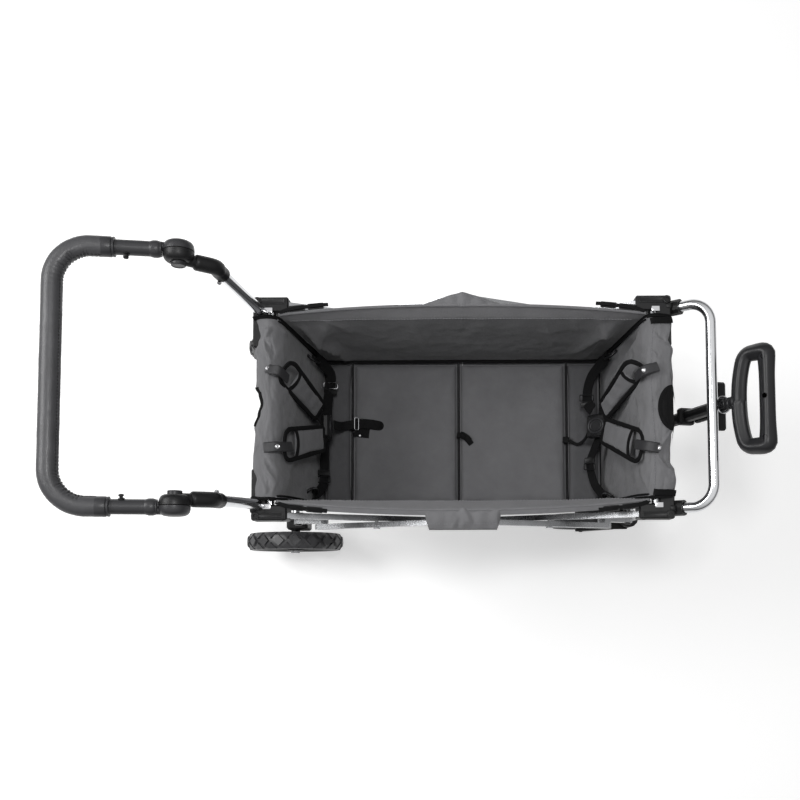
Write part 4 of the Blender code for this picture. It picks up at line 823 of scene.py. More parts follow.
@dataclass(frozen=True)
class Crease:
    """A fold in cloth: a soft ridge or furrow along a short line on its surface."""

    start: tuple[float, float]
    end: tuple[float, float]
    depth: float
    width: float

    def at(self, u: float, v: float) -> float:
        """How far the cloth stands proud at a spot."""
        ax, ay = self.end[0] - self.start[0], self.end[1] - self.start[1]
        square = ax * ax + ay * ay
        t = ((u - self.start[0]) * ax + (v - self.start[1]) * ay) / square
        held = min(1.0, max(0.0, t))
        dx, dy = u - self.start[0] - held * ax, v - self.start[1] - held * ay
        fade = math.sin(math.pi * min(1.0, max(0.0, 0.1 + 0.8 * held))) ** 0.7
        return self.depth * fade * math.exp(-(((dx * dx + dy * dy) / (self.width * self.width)) ** 0.7))


def slack(x: float, y: float, depth: float, size: float, seed: float) -> float:
    """The even unevenness of hanging cloth, from smooth noise."""
    return depth * noise.noise(Vector((x / size, y / size, seed)))


@dataclass
class Inflation:
    """How a cushion is blown up: as cloth with pressure inside, held near its start."""

    frames: int = 20
    pressure: float = 4.0
    voxel: float = 0.005
    cap: float = 0.005
    stiffness: float = 18
    bending: float = 1.5
    mass: float = 0.3
    quality: int = 6

    def swell(self, obj: Piece) -> None:
        """Remeshes a closed piece, swells it as cloth and applies the result."""
        bake_modifier(obj, "REMESH", {"mode": "VOXEL", "voxel_size": self.voxel})
        start = [vert.co.copy() for vert in obj.data.vertices]
        cloth = obj.modifiers.new("cloth", "CLOTH")
        cloth.settings.quality = self.quality
        cloth.settings.mass = self.mass
        cloth.settings.tension_stiffness = self.stiffness
        cloth.settings.compression_stiffness = self.stiffness
        cloth.settings.bending_stiffness = self.bending
        cloth.settings.use_pressure = True
        cloth.settings.uniform_pressure_force = self.pressure
        cloth.settings.effector_weights.gravity = 0.0
        cloth.collision_settings.use_collision = False
        scene = bpy.context.scene
        for frame in range(1, self.frames + 1):
            scene.frame_set(frame)
        select_only(obj)
        bpy.ops.object.modifier_apply(modifier=cloth.name)
        scene.frame_set(1)
        for vert, was in zip(obj.data.vertices, start):
            step = vert.co - was
            if step.length > self.cap:
                vert.co = was + step.normalized() * self.cap


@dataclass
class Workbench:
    """Where finished pieces are handed over: it places, dresses and mounts them on the frame."""

    frame: dict[str, object]
    middle: Vector = field(default_factory=Vector)

    def __post_init__(self) -> None:
        """Finds the basket's middle between the hinge covers' ends."""
        low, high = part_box("hinge_cover_left")
        self.middle = Vector(((low.x + high.x) / 2, 0.0, 0.0))

    def spot(self, x: float, z: float) -> Point:
        """A place in the middle plane, given from the basket's middle, in the frame's own metres."""
        return tuple(self.middle + Vector((x, 0, z)))

    def coat(self, obj: Piece, finish: Finish) -> None:
        """Gives a piece one material and nothing else."""
        obj.data.materials.clear()
        obj.data.materials.append(finish.material())
        for face in obj.data.polygons:
            face.material_index = 0

    def mount(
        self, obj: Piece, body: str | None, finish: Finish, slot: str, replaces: Iterable[str] = ()
    ) -> Piece:
        """Finishes a piece and mounts it on a body.

        Args:
            obj: The piece, at its place from the basket's middle.
            body: The CAD body that it moves with, or None for a piece that rides on no body.
            finish: What it is made of.
            slot: The record's material slot; not used.
            replaces: CAD nodes that it stands for.

        Returns:
            The piece.
        """
        settle(obj)
        obj.data.transform(Matrix.Translation(self.middle))
        self.coat(obj, finish)
        if body:
            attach(obj, body)
        nodes = list(replaces)
        if nodes:
            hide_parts(*nodes)
        log.info("%s rides on %s", obj.name, body or "two bodies")
        return obj

    def dress(self, finish: Finish, *nodes: str) -> None:
        """Gives CAD nodes their finish."""
        for name in nodes:
            self.coat(self.frame["nodes"][name], finish)


@dataclass
class BasketShell:
    """The sewn cloth of the basket: side and end walls, their bindings, stitches and hinge tents."""

    bench: Workbench
    floor_z: float = 0.2965
    rim_z: float = 0.666
    floor_half_width: float = 0.1870
    rim_half_width: float = 0.2185
    corner_half_width: float = 0.1995
    hem_z: float = 0.640
    hem_half_width: float = 0.1990
    floor_half_length: float = 0.347
    rim_half_length: float = 0.392
    cloth: float = 0.0022
    hem_pitch: float = 0.0065
    tent_pitch: float = 0.0055
    wall_pitch: float = 0.006
    fold_keep: float = 0.56
    fold_anchor: float = -0.392
    end_length: float = 0.455
    rear_edge: tuple[tuple[float, float], ...] = (
        (-0.1900, 0.4385), (-0.1764, 0.4380), (-0.1512, 0.4351), (-0.1304, 0.4410), (-0.1049, 0.4413),
        (-0.0559, 0.4378), (-0.0409, 0.4400), (-0.0153, 0.4323), (0.0082, 0.4262), (0.0297, 0.4306),
        (0.0426, 0.4371), (0.0598, 0.4358), (0.1050, 0.4363), (0.1184, 0.4405), (0.1418, 0.4367),
        (0.1530, 0.4319), (0.1729, 0.4361), (0.1900, 0.4397),
    )
    front_edge: tuple[tuple[float, float], ...] = (
        (-0.1900, 0.4433), (-0.1578, 0.4480), (-0.1366, 0.4457), (-0.1191, 0.4372), (-0.0919, 0.4377),
        (-0.0621, 0.4398), (-0.0472, 0.4440), (-0.0044, 0.4439), (0.0267, 0.4470), (0.0477, 0.4457),
        (0.0628, 0.4467), (0.1022, 0.4445), (0.1218, 0.4478), (0.1400, 0.4407), (0.1796, 0.4453),
        (0.1900, 0.4453),
    )

    def build(self) -> None:
        """Sews the whole shell."""
        for hand in Hand:
            self.side_wall(hand)
            self.tent(hand)
        for end in End:
            self.end_wall(end)
            for hand in Hand:
                self.corner_binding(end, hand)

    def fold(self, obj: Piece) -> None:
        """Gives a piece of a side wall its own copy of its mesh."""
        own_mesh(obj)

    def sew_on(self, obj: Piece, finish: Finish, slot: str) -> None:
        """Mounts a piece that is sewn to a side wall on the rear frame, as the wall is."""
        self.bench.mount(obj, "rear_frame", finish, slot)
        self.fold(obj)

    def side_point(self, hand: Hand, x_share: float, z: float) -> Vector:
        """A point on a side wall's middle face.

        Args:
            hand: Which side.
            x_share: From -1 at the rear corner to 1 at the front corner.
            z: The height.

        Returns:
            The point.
        """
        up = (z - self.floor_z) / (self.rim_z - self.floor_z)
        length = self.floor_half_length + (self.rim_half_length - self.floor_half_length) * up
        bow = 1 - abs(x_share) ** 2.2
        hem_share = (z - self.hem_z) / (self.rim_z - self.hem_z)
        corner_hem = self.corner_half_width - 0.004
        hem_y = corner_hem + (self.hem_half_width - corner_hem) * bow
        rim_y = self.corner_half_width + (self.rim_half_width - self.corner_half_width) * bow
        if hem_share > 0:
            y = hem_y + (rim_y - hem_y) * hem_share
        else:
            below = (z - self.floor_z) / (self.hem_z - self.floor_z)
            y = self.floor_half_width + (hem_y - self.floor_half_width) * below
            y -= 0.004 * math.sin(math.pi * below) * bow
        return Vector((x_share * length, hand.value * y, z))

    def side_wall(self, hand: Hand) -> None:
        """One long side, with the slack of the cloth, its turned hem and its hem stitches."""
        creases = [
            Crease((-0.290, 0.335), (-0.335, 0.200), 0.013, 0.016),
            Crease((-0.350, 0.300), (-0.305, 0.120), 0.016, 0.014),
            Crease((-0.318, 0.200), (-0.285, 0.020), 0.013, 0.016),
            Crease((-0.270, 0.335), (-0.245, 0.240), 0.004, 0.009),
            Crease((-0.292, 0.336), (-0.262, 0.300), 0.004, 0.006),
            Crease((-0.110, 0.338), (-0.080, 0.100), 0.0030, 0.014),
            Crease((0.020, 0.335), (-0.010, 0.200), -0.0025, 0.012),
            Crease((0.180, 0.338), (0.215, 0.160), 0.0035, 0.012),
            Crease((0.240, 0.338), (0.262, 0.270), 0.0030, 0.007),
            Crease((0.335, 0.330), (0.275, 0.100), 0.013, 0.018),
            Crease((0.300, 0.338), (0.350, 0.200), 0.012, 0.014),
            Crease((0.322, 0.180), (0.300, 0.020), 0.006, 0.018),
        ]

        def place(u: float, v: float) -> Vector:
            """The wall's surface, with its folds."""
            z = self.floor_z + v * (self.rim_z - self.floor_z)
            share = 2 * u - 1
            spot = self.side_point(hand, share, z)
            held = min(1.0, (1 - abs(share)) * 12) * min(1.0, v * 8) * min(1.0, (1 - v) * 5 + 0.05)
            depth = 1.0 if hand is Hand.LEFT else 0.3
            proud = sum(c.at(spot.x, z - self.floor_z) for c in creases) * depth
            proud += slack(spot.x, z, 0.0040, 0.09, hand.value * 3.1)
            proud += slack(spot.x, z, 0.0016, 0.03, hand.value * 7.7)
            spot.y -= hand.value * max(-0.004, proud * held)
            return spot

        wall = cloth_sheet(f"side_wall_cloth_{hand.word}", place, 170, 70, self.cloth, (0.76, 0.37))
        self.bench.mount(wall, "rear_frame", CLOTH, "grey_fabric", [f"side_wall_{hand.word}"])
        self.fold(wall)

        rim = [self.side_point(hand, x, self.rim_z + 0.0005) for x in steps(80, -1, 2)]
        roll = tube_along(f"rim_roll_{hand.word}", rim, 0.0034, 10)
        self.sew_on(roll, CLOTH, "grey_fabric")
        inward = Vector((0, hand.value * (self.cloth / 2 + 0.0002), 0))
        hem = (self.hem_z - self.floor_z) / (self.rim_z - self.floor_z)
        seam = [place(u, hem) - inward for u in steps(120, 0.02, 0.96)]
        lift = Vector((0, -hand.value * 0.0008, 0.0004))
        row = stitches(f"hem_stitches_{hand.word}", seam, self.hem_pitch, 0.0008, lift)
        self.sew_on(row, THREAD, "grey_fabric")

        if hand is Hand.RIGHT:
            out = Vector((0, hand.value * 0.0058, -0.0012))
            lip_line = [self.side_point(hand, k / 50 - 0.94, self.rim_z) + out for k in range(95)]
            lip = tape_along("hem_lip", lip_line, [Vector((0, -0.3, 1))], 0.0125, 0.0030)
            self.sew_on(lip, CLOTH, "grey_fabric")

        foot = [
            self.side_point(hand, x, 0.3135) - Vector((0, hand.value * 0.0042, 0))
            for x in steps(60, -1, 2)
        ]
        piping = tube_along(f"foot_piping_{hand.word}", foot, 0.0030, 8)
        self.sew_on(piping, BINDING, "webbing")

    def tent(self, hand: Hand) -> None:
        """The pocket sewn over the middle hinge: a pointed top that turns down over a skirt."""
        far = hand is Hand.LEFT
        half, inner, outer = 0.0795, 0.2155, 0.2480 if far else 0.2570
        top, low = 0.6655, 0.612

        def place(u: float, v: float) -> Vector:
            """The pocket's surface: v runs out over the top and then down the skirt."""
            x = (2 * u - 1) * half
            share = abs(x) / half
            if far:
                rise = 1 - share**1.15
            else:
                rise = min(1.0, (1 - share) / 0.10) ** 0.6
            edge = inner + 0.008 + (outer - inner - 0.008) * max(0.0, rise)
            if v < 0.5:
                t = v / 0.5
                y = inner + (edge - inner) * t
                z = top - 0.005 * t * t + 0.004 * math.sin(math.pi * t) * rise
            else:
                t = (v - 0.5) / 0.5
                y = edge + 0.0015 * math.sin(math.pi * t)
                z = top - 0.005 - (top - 0.005 - low) * t
            ridge = 0.0030 * math.exp(-((x / 0.006) ** 2)) * (1 - v)
            pull = 0.0030 * math.exp(-(((abs(x) - 0.045 * v) / 0.006) ** 2)) * (0.0 if far else 1.0)
            wave = 0.0016 * math.sin(x * 210) * math.sin(math.pi * min(1.0, v * 1.6)) + pull
            lift = ridge + wave + slack(x, y, 0.002, 0.02, 4.0)
            return Vector((x, hand.value * y, z + lift * (1 - v * 0.5)))

        pocket = cloth_sheet(f"hinge_tent_{hand.word}", place, 60, 26, self.cloth, (0.16, 0.11))
        self.bench.mount(pocket, "hinge_covers", CLOTH, "grey_fabric", [f"hinge_cover_{hand.word}"])
        edge = [place(u, 0.40) + Vector((0, 0, self.cloth / 2)) for u in steps(40, 0.04, 0.92)]
        row = stitches(f"tent_stitches_{hand.word}", edge, self.tent_pitch, 0.0007, Vector((0, 0, 0.0008)))
        self.bench.mount(row, "hinge_covers", THREAD, "grey_fabric")

    def edge_x(self, end: End, y: float) -> float:
        """How far out an end wall's free edge lies at a place across the wagon."""
        table = self.rear_edge if end is End.REAR else self.front_edge
        for (y0, x0), (y1, x1) in zip(table, table[1:]):
            if y <= y1:
                t = min(1.0, max(0.0, (y - y0) / (y1 - y0)))
                return x0 + (x1 - x0) * t * t * (3 - 2 * t)
        return table[-1][1]

    def end_point(self, end: End, y_share: float, run: float) -> Vector:
        """A point on an end wall: up the slope, over the top rail and out to the wall's free edge.

        Args:
            end: Which end.
            y_share: From -1 at the right corner to 1 at the left corner.
            run: From 0 at the floor to 1 at the free edge.

        Returns:
            The point.
        """
        half = 0.1845 + 0.0055 * min(1.0, run / 0.64)
        y = y_share * half
        edge = self.edge_x(end, y)
        path = [
            (0.0, 0.3475, self.floor_z),
            (0.19, 0.3600, 0.400),
            (0.38, 0.3735, 0.505),
            (0.54, 0.3820, 0.590),
            (0.63, 0.3870, 0.633),
            (0.70, 0.3945, 0.6580),
            (0.77, 0.4065, 0.6685),
            (0.86, 0.4210 + (edge - 0.4385) * 0.4, 0.6700),
            (0.94, edge - 0.0040, 0.6660),
            (1.0, edge, 0.6590),
        ]
        k = 0
        while k < len(path) - 2 and run > path[k + 1][0]:
            k += 1
        s0, s1 = path[k][0], path[k + 1][0]
        t = min(1.0, (run - s0) / (s1 - s0))
        ways = []
        for i in (k, k + 1):
            low, high = path[max(0, i - 1)], path[min(len(path) - 1, i + 1)]
            ways.append([(h - g) / (high[0] - low[0]) * (s1 - s0) for g, h in zip(low[1:], high[1:])])
        spot = []
        for axis in (0, 1):
            a, b = path[k][axis + 1], path[k + 1][axis + 1]
            m0, m1 = ways[0][axis], ways[1][axis]
            start = (2 * t**3 - 3 * t**2 + 1) * a + (t**3 - 2 * t**2 + t) * m0
            spot.append(start + (3 * t**2 - 2 * t**3) * b + (t**3 - t**2) * m1)
        return Vector((end.value * spot[0], y, spot[1]))

    def end_creases(self, end: End) -> list[Crease]:
        """The folds of an end wall, each from its places across the wagon and along the cloth."""
        rear = (
            (0.1366, 0.858, 0.0996, 0.765, 0.0045, 0.006),
            (0.1571, 0.912, 0.1193, 0.743, -0.0040, 0.006),
            (0.1677, 0.900, 0.1664, 0.770, 0.0060, 0.006),
            (0.1664, 0.770, 0.1517, 0.860, 0.0050, 0.005),
            (0.1837, 0.818, 0.1686, 0.610, 0.0040, 0.005),
            (0.1749, 0.703, 0.1664, 0.610, 0.0040, 0.004),
            (0.1344, 0.760, 0.1191, 0.735, -0.0050, 0.005),
            (0.1500, 0.880, 0.1050, 0.800, 0.0030, 0.005),
            (0.1240, 0.950, 0.1000, 0.780, -0.0030, 0.006),
            (-0.1160, 0.845, -0.1602, 0.713, 0.0065, 0.007),
            (-0.1602, 0.713, -0.1880, 0.750, 0.0050, 0.006),
            (-0.1495, 0.905, -0.1755, 0.810, 0.0045, 0.006),
            (-0.1755, 0.810, -0.1880, 0.843, 0.0040, 0.005),
            (-0.1050, 0.800, -0.1300, 0.700, 0.0030, 0.008),
            (0.0285, 0.693, 0.0983, 0.350, 0.0070, 0.040),
            (-0.0746, 0.475, -0.1712, 0.605, 0.0060, 0.030),
            (-0.0300, 0.600, -0.1400, 0.120, 0.0050, 0.035),
        )
        front = (
            (0.1812, 0.605, 0.1543, 0.292, -0.0140, 0.011),
            (0.1543, 0.320, 0.1174, 0.060, -0.0120, 0.014),
            (0.1560, 0.777, 0.1411, 0.843, 0.0050, 0.004),
            (0.1411, 0.843, 0.1322, 0.980, 0.0060, 0.004),
            (0.1460, 0.860, 0.1280, 0.960, -0.0040, 0.005),
            (0.1050, 0.598, 0.1198, 0.748, 0.0040, 0.005),
            (0.1198, 0.748, 0.1021, 0.818, 0.0040, 0.004),
            (0.1400, 0.745, 0.1250, 0.720, -0.0040, 0.004),
            (-0.0946, 0.810, -0.0550, 0.960, 0.0045, 0.005),
            (-0.1053, 0.787, -0.1531, 0.980, 0.0060, 0.005),
            (-0.1262, 0.748, -0.1784, 0.700, 0.0040, 0.005),
            (-0.1205, 0.600, -0.1826, 0.698, 0.0040, 0.007),
            (-0.0900, 0.730, -0.1180, 0.690, -0.0040, 0.006),
            (0.0300, 0.560, -0.0425, 0.620, 0.0022, 0.010),
            (-0.0300, 0.500, -0.1300, 0.180, 0.0060, 0.030),
            (0.0600, 0.420, 0.0100, 0.120, 0.0050, 0.030),
        )
        return [
            Crease((y0, r0 * self.end_length), (y1, r1 * self.end_length), depth, width)
            for y0, r0, y1, r1, depth, width in (rear if end is End.REAR else front)
        ]

    def end_wall(self, end: End) -> None:
        """One end of the basket, slack over its rail, with the cloth's radiating creases."""
        creases = self.end_creases(end)

        def place(u: float, v: float) -> Vector:
            """The wall's surface, with its folds."""
            share = 2 * u - 1
            spot = self.end_point(end, share, v)
            run = v * self.end_length
            held = min(1.0, (1 - abs(share)) * 9) * min(1.0, v * 8)
            proud = sum(c.at(spot.y, run) for c in creases)
            proud += slack(spot.y, run, 0.0050, 0.08, end.value * 5.3)
            proud += slack(spot.y, run, 0.0022, 0.028, end.value * 1.9)
            proud += slack(spot.y, run, 0.0009, 0.012, end.value * 4.1)
            proud *= held
            slope = min(1.0, max(0.0, (0.76 - v) / 0.1))
            spot.x -= end.value * max(-0.012, proud) * slope
            spot.z += max(-0.003, proud) * (1 - slope)
            return spot

        wall = cloth_sheet(f"{end.word}_wall_cloth", place, 130, 150, self.cloth, (0.38, 0.46))
        self.bench.mount(wall, end.body, CLOTH, "grey_fabric", [f"{end.word}_end_wall"])
        hem = [place(u, 1.0) for u in steps(110)]
        roll = tube_along(f"{end.word}_wall_hem", hem, 0.0024, 8)
        self.bench.mount(roll, end.body, CLOTH, "grey_fabric")
        if end is End.FRONT:
            seam = []
            for k in range(91):
                run = 0.755 + 0.014 * math.sin(k / 90 * 7.3)
                seam.append(place(0.04 + 0.92 * k / 90, run) + Vector((-0.0006, 0, 0.0012)))
            lift = Vector((-0.0004, 0, 0.0012))
            row = stitches("front_wall_stitches", seam, self.wall_pitch, 0.0010, lift)
            self.bench.mount(row, end.body, THREAD, "grey_fabric")
            self.front_slot()
        else:
            self.rear_notch(place)

    def rear_notch(self, place: Surface) -> None:
        """The bound dip in the rear wall's free edge, where a hand takes hold of the rail."""
        lift = Vector((0, 0, 0.0012))
        line = [place((y / 0.19 + 1) / 2, 0.965) + lift for y in steps(30, -0.0400, 0.0840)]
        band = tape_along("rear_notch_binding", line, [Vector((-0.35, 0, 1))], 0.0085, 0.0030)
        self.bench.mount(band, End.REAR.body, BINDING, "webbing")

    def front_slot(self) -> None:
        """The bound half-oval hand hole over the front rail, filled with a black sheet of webbing: painted
        shade in the hole.
        """
        middle_y, half_y, deep = -0.0045, 0.0465, 0.0300
        outer_x = 0.4462

        def height(x: float) -> float:
            """The height of the wall's top over the rail, where the slot lies."""
            return 0.6712 - 0.006 * max(0.0, (x - 0.425) / 0.021) ** 2

        def place(u: float, v: float) -> Vector:
            """The black sheet of painted shade that fills the hole: dished a little between its binding and
            the edge.
            """
            a = math.pi * u
            y = middle_y + half_y * math.cos(a) * (1 - 0.02 * v)
            x = outer_x - deep * math.sin(a) * v
            dish = 0.0016 * math.sin(math.pi * v) * math.sin(a)
            return Vector((x, y, height(x) + 0.0012 + dish))

        # A black sheet laid in the hand hole: painted shade where the hole shows dark.
        painted_shade_sheet = cloth_sheet("front_slot_lining", place, 36, 8, 0.0016, (0.09, 0.03))
        self.bench.mount(painted_shade_sheet, End.FRONT.body, TAPE, "webbing")
        rim = [place(u, 1.0) + Vector((0, 0, 0.0004)) for u in steps(40, 0.02, 0.96)]
        edge = tape_along("rim", rim, [UP], 0.0075, 0.0030)
        ridge = [place(u, 0.55) + Vector((0, 0, 0.0010)) for u in steps(30, 0.12, 0.76)]
        fold = tape_along("ridge", ridge, [UP], 0.0040, 0.0022)
        binding = merged("front_slot_binding", [edge, fold])
        self.bench.mount(binding, End.FRONT.body, BINDING, "webbing")

    def corner_binding(self, end: End, hand: Hand) -> None:
        """The black bound seam that joins a side wall to an end wall, from the floor to the corner, with a
        light grey cord between its black cords as a painted highlight.
        """
        e, s = end.value, hand.value
        points = vectors(
            (e * 0.3440, s * 0.1815, 0.318),
            (e * 0.3560, s * 0.1835, 0.400),
            (e * 0.3700, s * 0.1860, 0.500),
            (e * 0.3835, s * 0.1890, 0.600),
            (e * 0.3925, s * 0.1920, 0.650),
            (e * 0.4070, s * 0.1935, 0.6700),
            (e * 0.4270, s * 0.1930, 0.6720),
            (e * 0.4440, s * 0.1910, 0.6700),
        )
        line = smooth_line(points, 0.008)
        cord = tube_along("cord", line, 0.0029, 10)
        below_bracket = line[: -len(line) // 8]
        inner = [p + Vector((-e * 0.0050, -s * 0.0052, 0.0010)) for p in below_bracket]
        second = tube_along("second", inner, 0.0022, 10)
        flange = tape_along("flange", line, [Vector((-e, -s, 0.6))], 0.013, 0.0016)
        seam = merged(f"{end.word}_seam_{hand.word}", [cord, second, flange])
        self.bench.mount(seam, end.body, BINDING, "webbing")
        # A light grey cord between the black cords: a painted highlight along the seam.
        light = [p + Vector((-e * 0.0026, -s * 0.0026, 0.0022)) for p in below_bracket]
        welt = tube_along(f"{end.word}_welt_{hand.word}", light, 0.0012, 6)
        self.bench.mount(welt, end.body, THREAD, "grey_fabric")


@dataclass
class FloorPads:
    """The quilted floor: four sewn pads, their seams, and the small pull strap in the middle."""

    bench: Workbench
    cloth_z: float = 0.2954
    low_z: float = 0.2972
    high_z: float = 0.3125
    piping_z: float = 0.3118
    half_width: float = 0.1795
    middle_seam: float = -0.010
    rear_seam: float = -0.2755
    front_seam: float = 0.2600
    seam_gap: float = 0.0004
    hinge: float = 0.267

    def build(self) -> None:
        """Sews the four pads and the pull strap."""
        gap = self.seam_gap
        for end in End:
            self.under_cloth(end)
        self.pad("rear_end_pad", -0.3445, self.rear_seam - gap, "rear_frame", [], [])
        self.pad(
            "rear_pad", self.rear_seam + gap, self.middle_seam - gap, "rear_board", ["rear_floor_pad"],
            [
                Crease((-0.012, 0.165), (-0.075, 0.120), 0.0016, 0.008),
                Crease((-0.010, 0.120), (-0.045, 0.090), 0.0012, 0.007),
                Crease((-0.230, 0.150), (-0.060, 0.165), 0.0010, 0.010),
                Crease((-0.240, -0.120), (-0.120, -0.160), 0.0012, 0.012),
            ],
        )
        self.pad(
            "front_pad", self.middle_seam + gap, self.front_seam - gap, "front_board", ["front_floor_pad"],
            [
                Crease((0.000, 0.170), (0.050, 0.130), 0.0014, 0.008),
                Crease((0.240, 0.100), (0.180, 0.150), 0.0012, 0.010),
                Crease((0.030, -0.150), (0.170, -0.165), 0.0010, 0.012),
            ],
        )
        self.pad("front_end_pad", self.front_seam + gap, 0.3445, "front_frame", [], [])
        self.pull_strap()

    def under_cloth(self, end: End) -> None:
        """The floor's own cloth under the pads of one end, out to the side walls."""
        e = end.value
        half = 0.1852
        inner, outer = (-0.3465, 0.0) if end is End.REAR else (0.0003, 0.3465)

        def place(u: float, v: float) -> Vector:
            """The cloth, flat on the boards."""
            return Vector((inner + (outer - inner) * u, half * (2 * v - 1), self.cloth_z))

        sheet = cloth_sheet(f"{end.word}_floor_cloth", place, 60, 12, 0.0014, (0.346, 0.37))
        self.bench.mount(sheet, None, CLOTH, "grey_fabric")
        self.bench.spot(e * (self.hinge + 0.008), self.cloth_z)
        self.bench.spot(e * (self.hinge - 0.008), self.cloth_z)
        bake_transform(sheet)

    def pad(
        self, name: str, x0: float, x1: float, body: str, replaces: list[str], creases: list[Crease]
    ) -> None:
        """One pad: a slab blown up as cloth, drawn in at its seams, with piping round its top.

        Args:
            name: The pad's name.
            x0: Its rear edge.
            x1: Its front edge.
            body: The CAD body that carries it, unless the pad reaches past the floor's hinge.
            replaces: The CAD nodes that it stands for.
            creases: The folds of its cover.
        """
        centre = Vector(((x0 + x1) / 2, 0, (self.low_z + self.high_z) / 2))
        size = Vector((x1 - x0 - 0.003, 2 * self.half_width - 0.004, self.high_z - self.low_z))
        slab = moulded_block(name, centre, size, 0.003)
        settle(slab)
        Inflation(cap=0.0045).swell(slab)
        for vert in slab.data.vertices:
            edge_x = min(vert.co.x - x0, x1 - vert.co.x)
            edge_y = self.half_width - abs(vert.co.y)
            edge = max(0.0, min(edge_x, edge_y))
            if vert.co.z > centre.z:
                vert.co.z -= 0.0038 * math.exp(-((edge / 0.007) ** 2))
                vert.co.z += slack(vert.co.x, vert.co.y, 0.0014, 0.07, 8.0)
                vert.co.z += slack(vert.co.x, vert.co.y, 0.0006, 0.02, 3.0)
                vert.co.z += sum(c.at(vert.co.x, vert.co.y) for c in creases)
            vert.co.z = max(vert.co.z, self.low_z - 0.0005)
            vert.co.x = min(max(vert.co.x, x0), x1)
            vert.co.y = min(max(vert.co.y, -self.half_width), self.half_width)
        bake_modifier(slab, "SUBSURF", {"levels": 1, "render_levels": 1})
        # End pads take the darker cloth: painted shade from the end walls.
        self.lay(slab, body, END_PAD_PAINTED_SHADE if "end" in name else PAD_CLOTH, "grey_fabric", replaces)

        rear, front, half = x0 + 0.0012, x1 - 0.0012, self.half_width - 0.001
        corners = vectors(
            *((x, y, self.piping_z) for x, y in ((rear, half), (front, half), (front, -half), (rear, -half)))
        )
        line = []
        for k, corner in enumerate(corners):
            other = corners[(k + 1) % 4]
            count = max(2, round((other - corner).length / 0.01))
            line += [corner.lerp(other, t) for t in steps(count)[:-1]]
        piping = tube_along(f"{name}_piping", line, 0.0012, 8, closed=True)
        self.lay(piping, body, BINDING, "webbing", [])

    def lay(self, obj: Piece, body: str, finish: Finish, slot: str, replaces: list[str]) -> None:
        """Mounts a piece of a pad; where the pad reaches past the floor's hinge, it is mounted on no body.

        Args:
            obj: The piece.
            body: The CAD body that carries it, unless its pad reaches past the hinge.
            finish: What it is made of.
            slot: The record's material slot.
            replaces: The CAD nodes that it stands for.
        """
        bends = {
            "rear_board": ("rear_frame", -self.hinge - 0.007, -self.hinge + 0.009),
            "front_frame": ("front_board", self.front_seam, self.hinge + 0.009),
        }
        self.bench.mount(obj, None if body in bends else body, finish, slot, replaces)
        if body in bends:
            other, start, end = bends[body]
            self.bench.spot(start, self.low_z)
            self.bench.spot(end, self.low_z)
            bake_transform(obj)

    def pull_strap(self) -> None:
        """The folded strap with its bar-tack, by which the floor is lifted to fold the wagon."""
        points = vectors(
            (-0.0130, -0.0045, 0.3150), (-0.0060, -0.0055, 0.3195), (0.0020, -0.0085, 0.3215),
            (0.0100, -0.0140, 0.3210), (0.0170, -0.0220, 0.3185), (0.0215, -0.0275, 0.3165),
        )
        tape = tape_along("strap", smooth_line(points, 0.003), [UP], 0.0145, 0.0030)
        under = [p + Vector((0.0010, 0.0030, 0.0022)) for p in points[1:5]]
        flap = tape_along("flap", smooth_line(under, 0.003), [UP], 0.0125, 0.0026)
        strap = merged("pull_strap", [tape, flap])
        self.bench.mount(strap, "front_board", TAPE, "webbing")
        loop = vectors(
            (-0.0040, -0.0020, 0.3250), (0.0030, -0.0025, 0.3265), (0.0060, -0.0085, 0.3265),
            (0.0035, -0.0150, 0.3255), (-0.0035, -0.0140, 0.3250), (-0.0060, -0.0075, 0.3245),
        )
        ring = tube_along("pull_strap_loop", smooth_line(loop, 0.003, closed=True), 0.0014, 8, closed=True)
        self.bench.mount(ring, "front_board", BINDING, "webbing")


@dataclass
class ShoulderPad:
    """The corners that one shoulder pad covers, and the tab that holds it on the wall.

    Head and foot are each a pair of corners; the tab runs from the wall through the pad's open head.
    """

    name: str
    head: tuple[Point, Point]
    foot: tuple[Point, Point]
    tab: tuple[Point, Point, Point, Point]
    normal: Point
    bar: float = 0.29
    snap: float = 0.42

    def spot(self, run: float, across: float, lift: float = 0.0) -> Vector:
        """A point on the pad: its share from head to foot, its share across, and how far it stands off."""
        top = Vector(self.head[0]).lerp(Vector(self.head[1]), across)
        low = Vector(self.foot[0]).lerp(Vector(self.foot[1]), across)
        return top.lerp(low, run) + self.face * lift

    @property
    def face(self) -> Vector:
        """The way the pad's face looks."""
        along = Vector(self.foot[0]) + Vector(self.foot[1]) - Vector(self.head[0]) - Vector(self.head[1])
        along.normalize()
        way = Vector(self.normal)
        return (way - along * way.dot(along)).normalized()

    @property
    def size(self) -> tuple[float, float]:
        """The pad's length and mean width."""
        length = (self.spot(1.0, 0.5) - self.spot(0.0, 0.5)).length
        width = (self.spot(0.5, 1.0) - self.spot(0.5, 0.0)).length
        return length, width


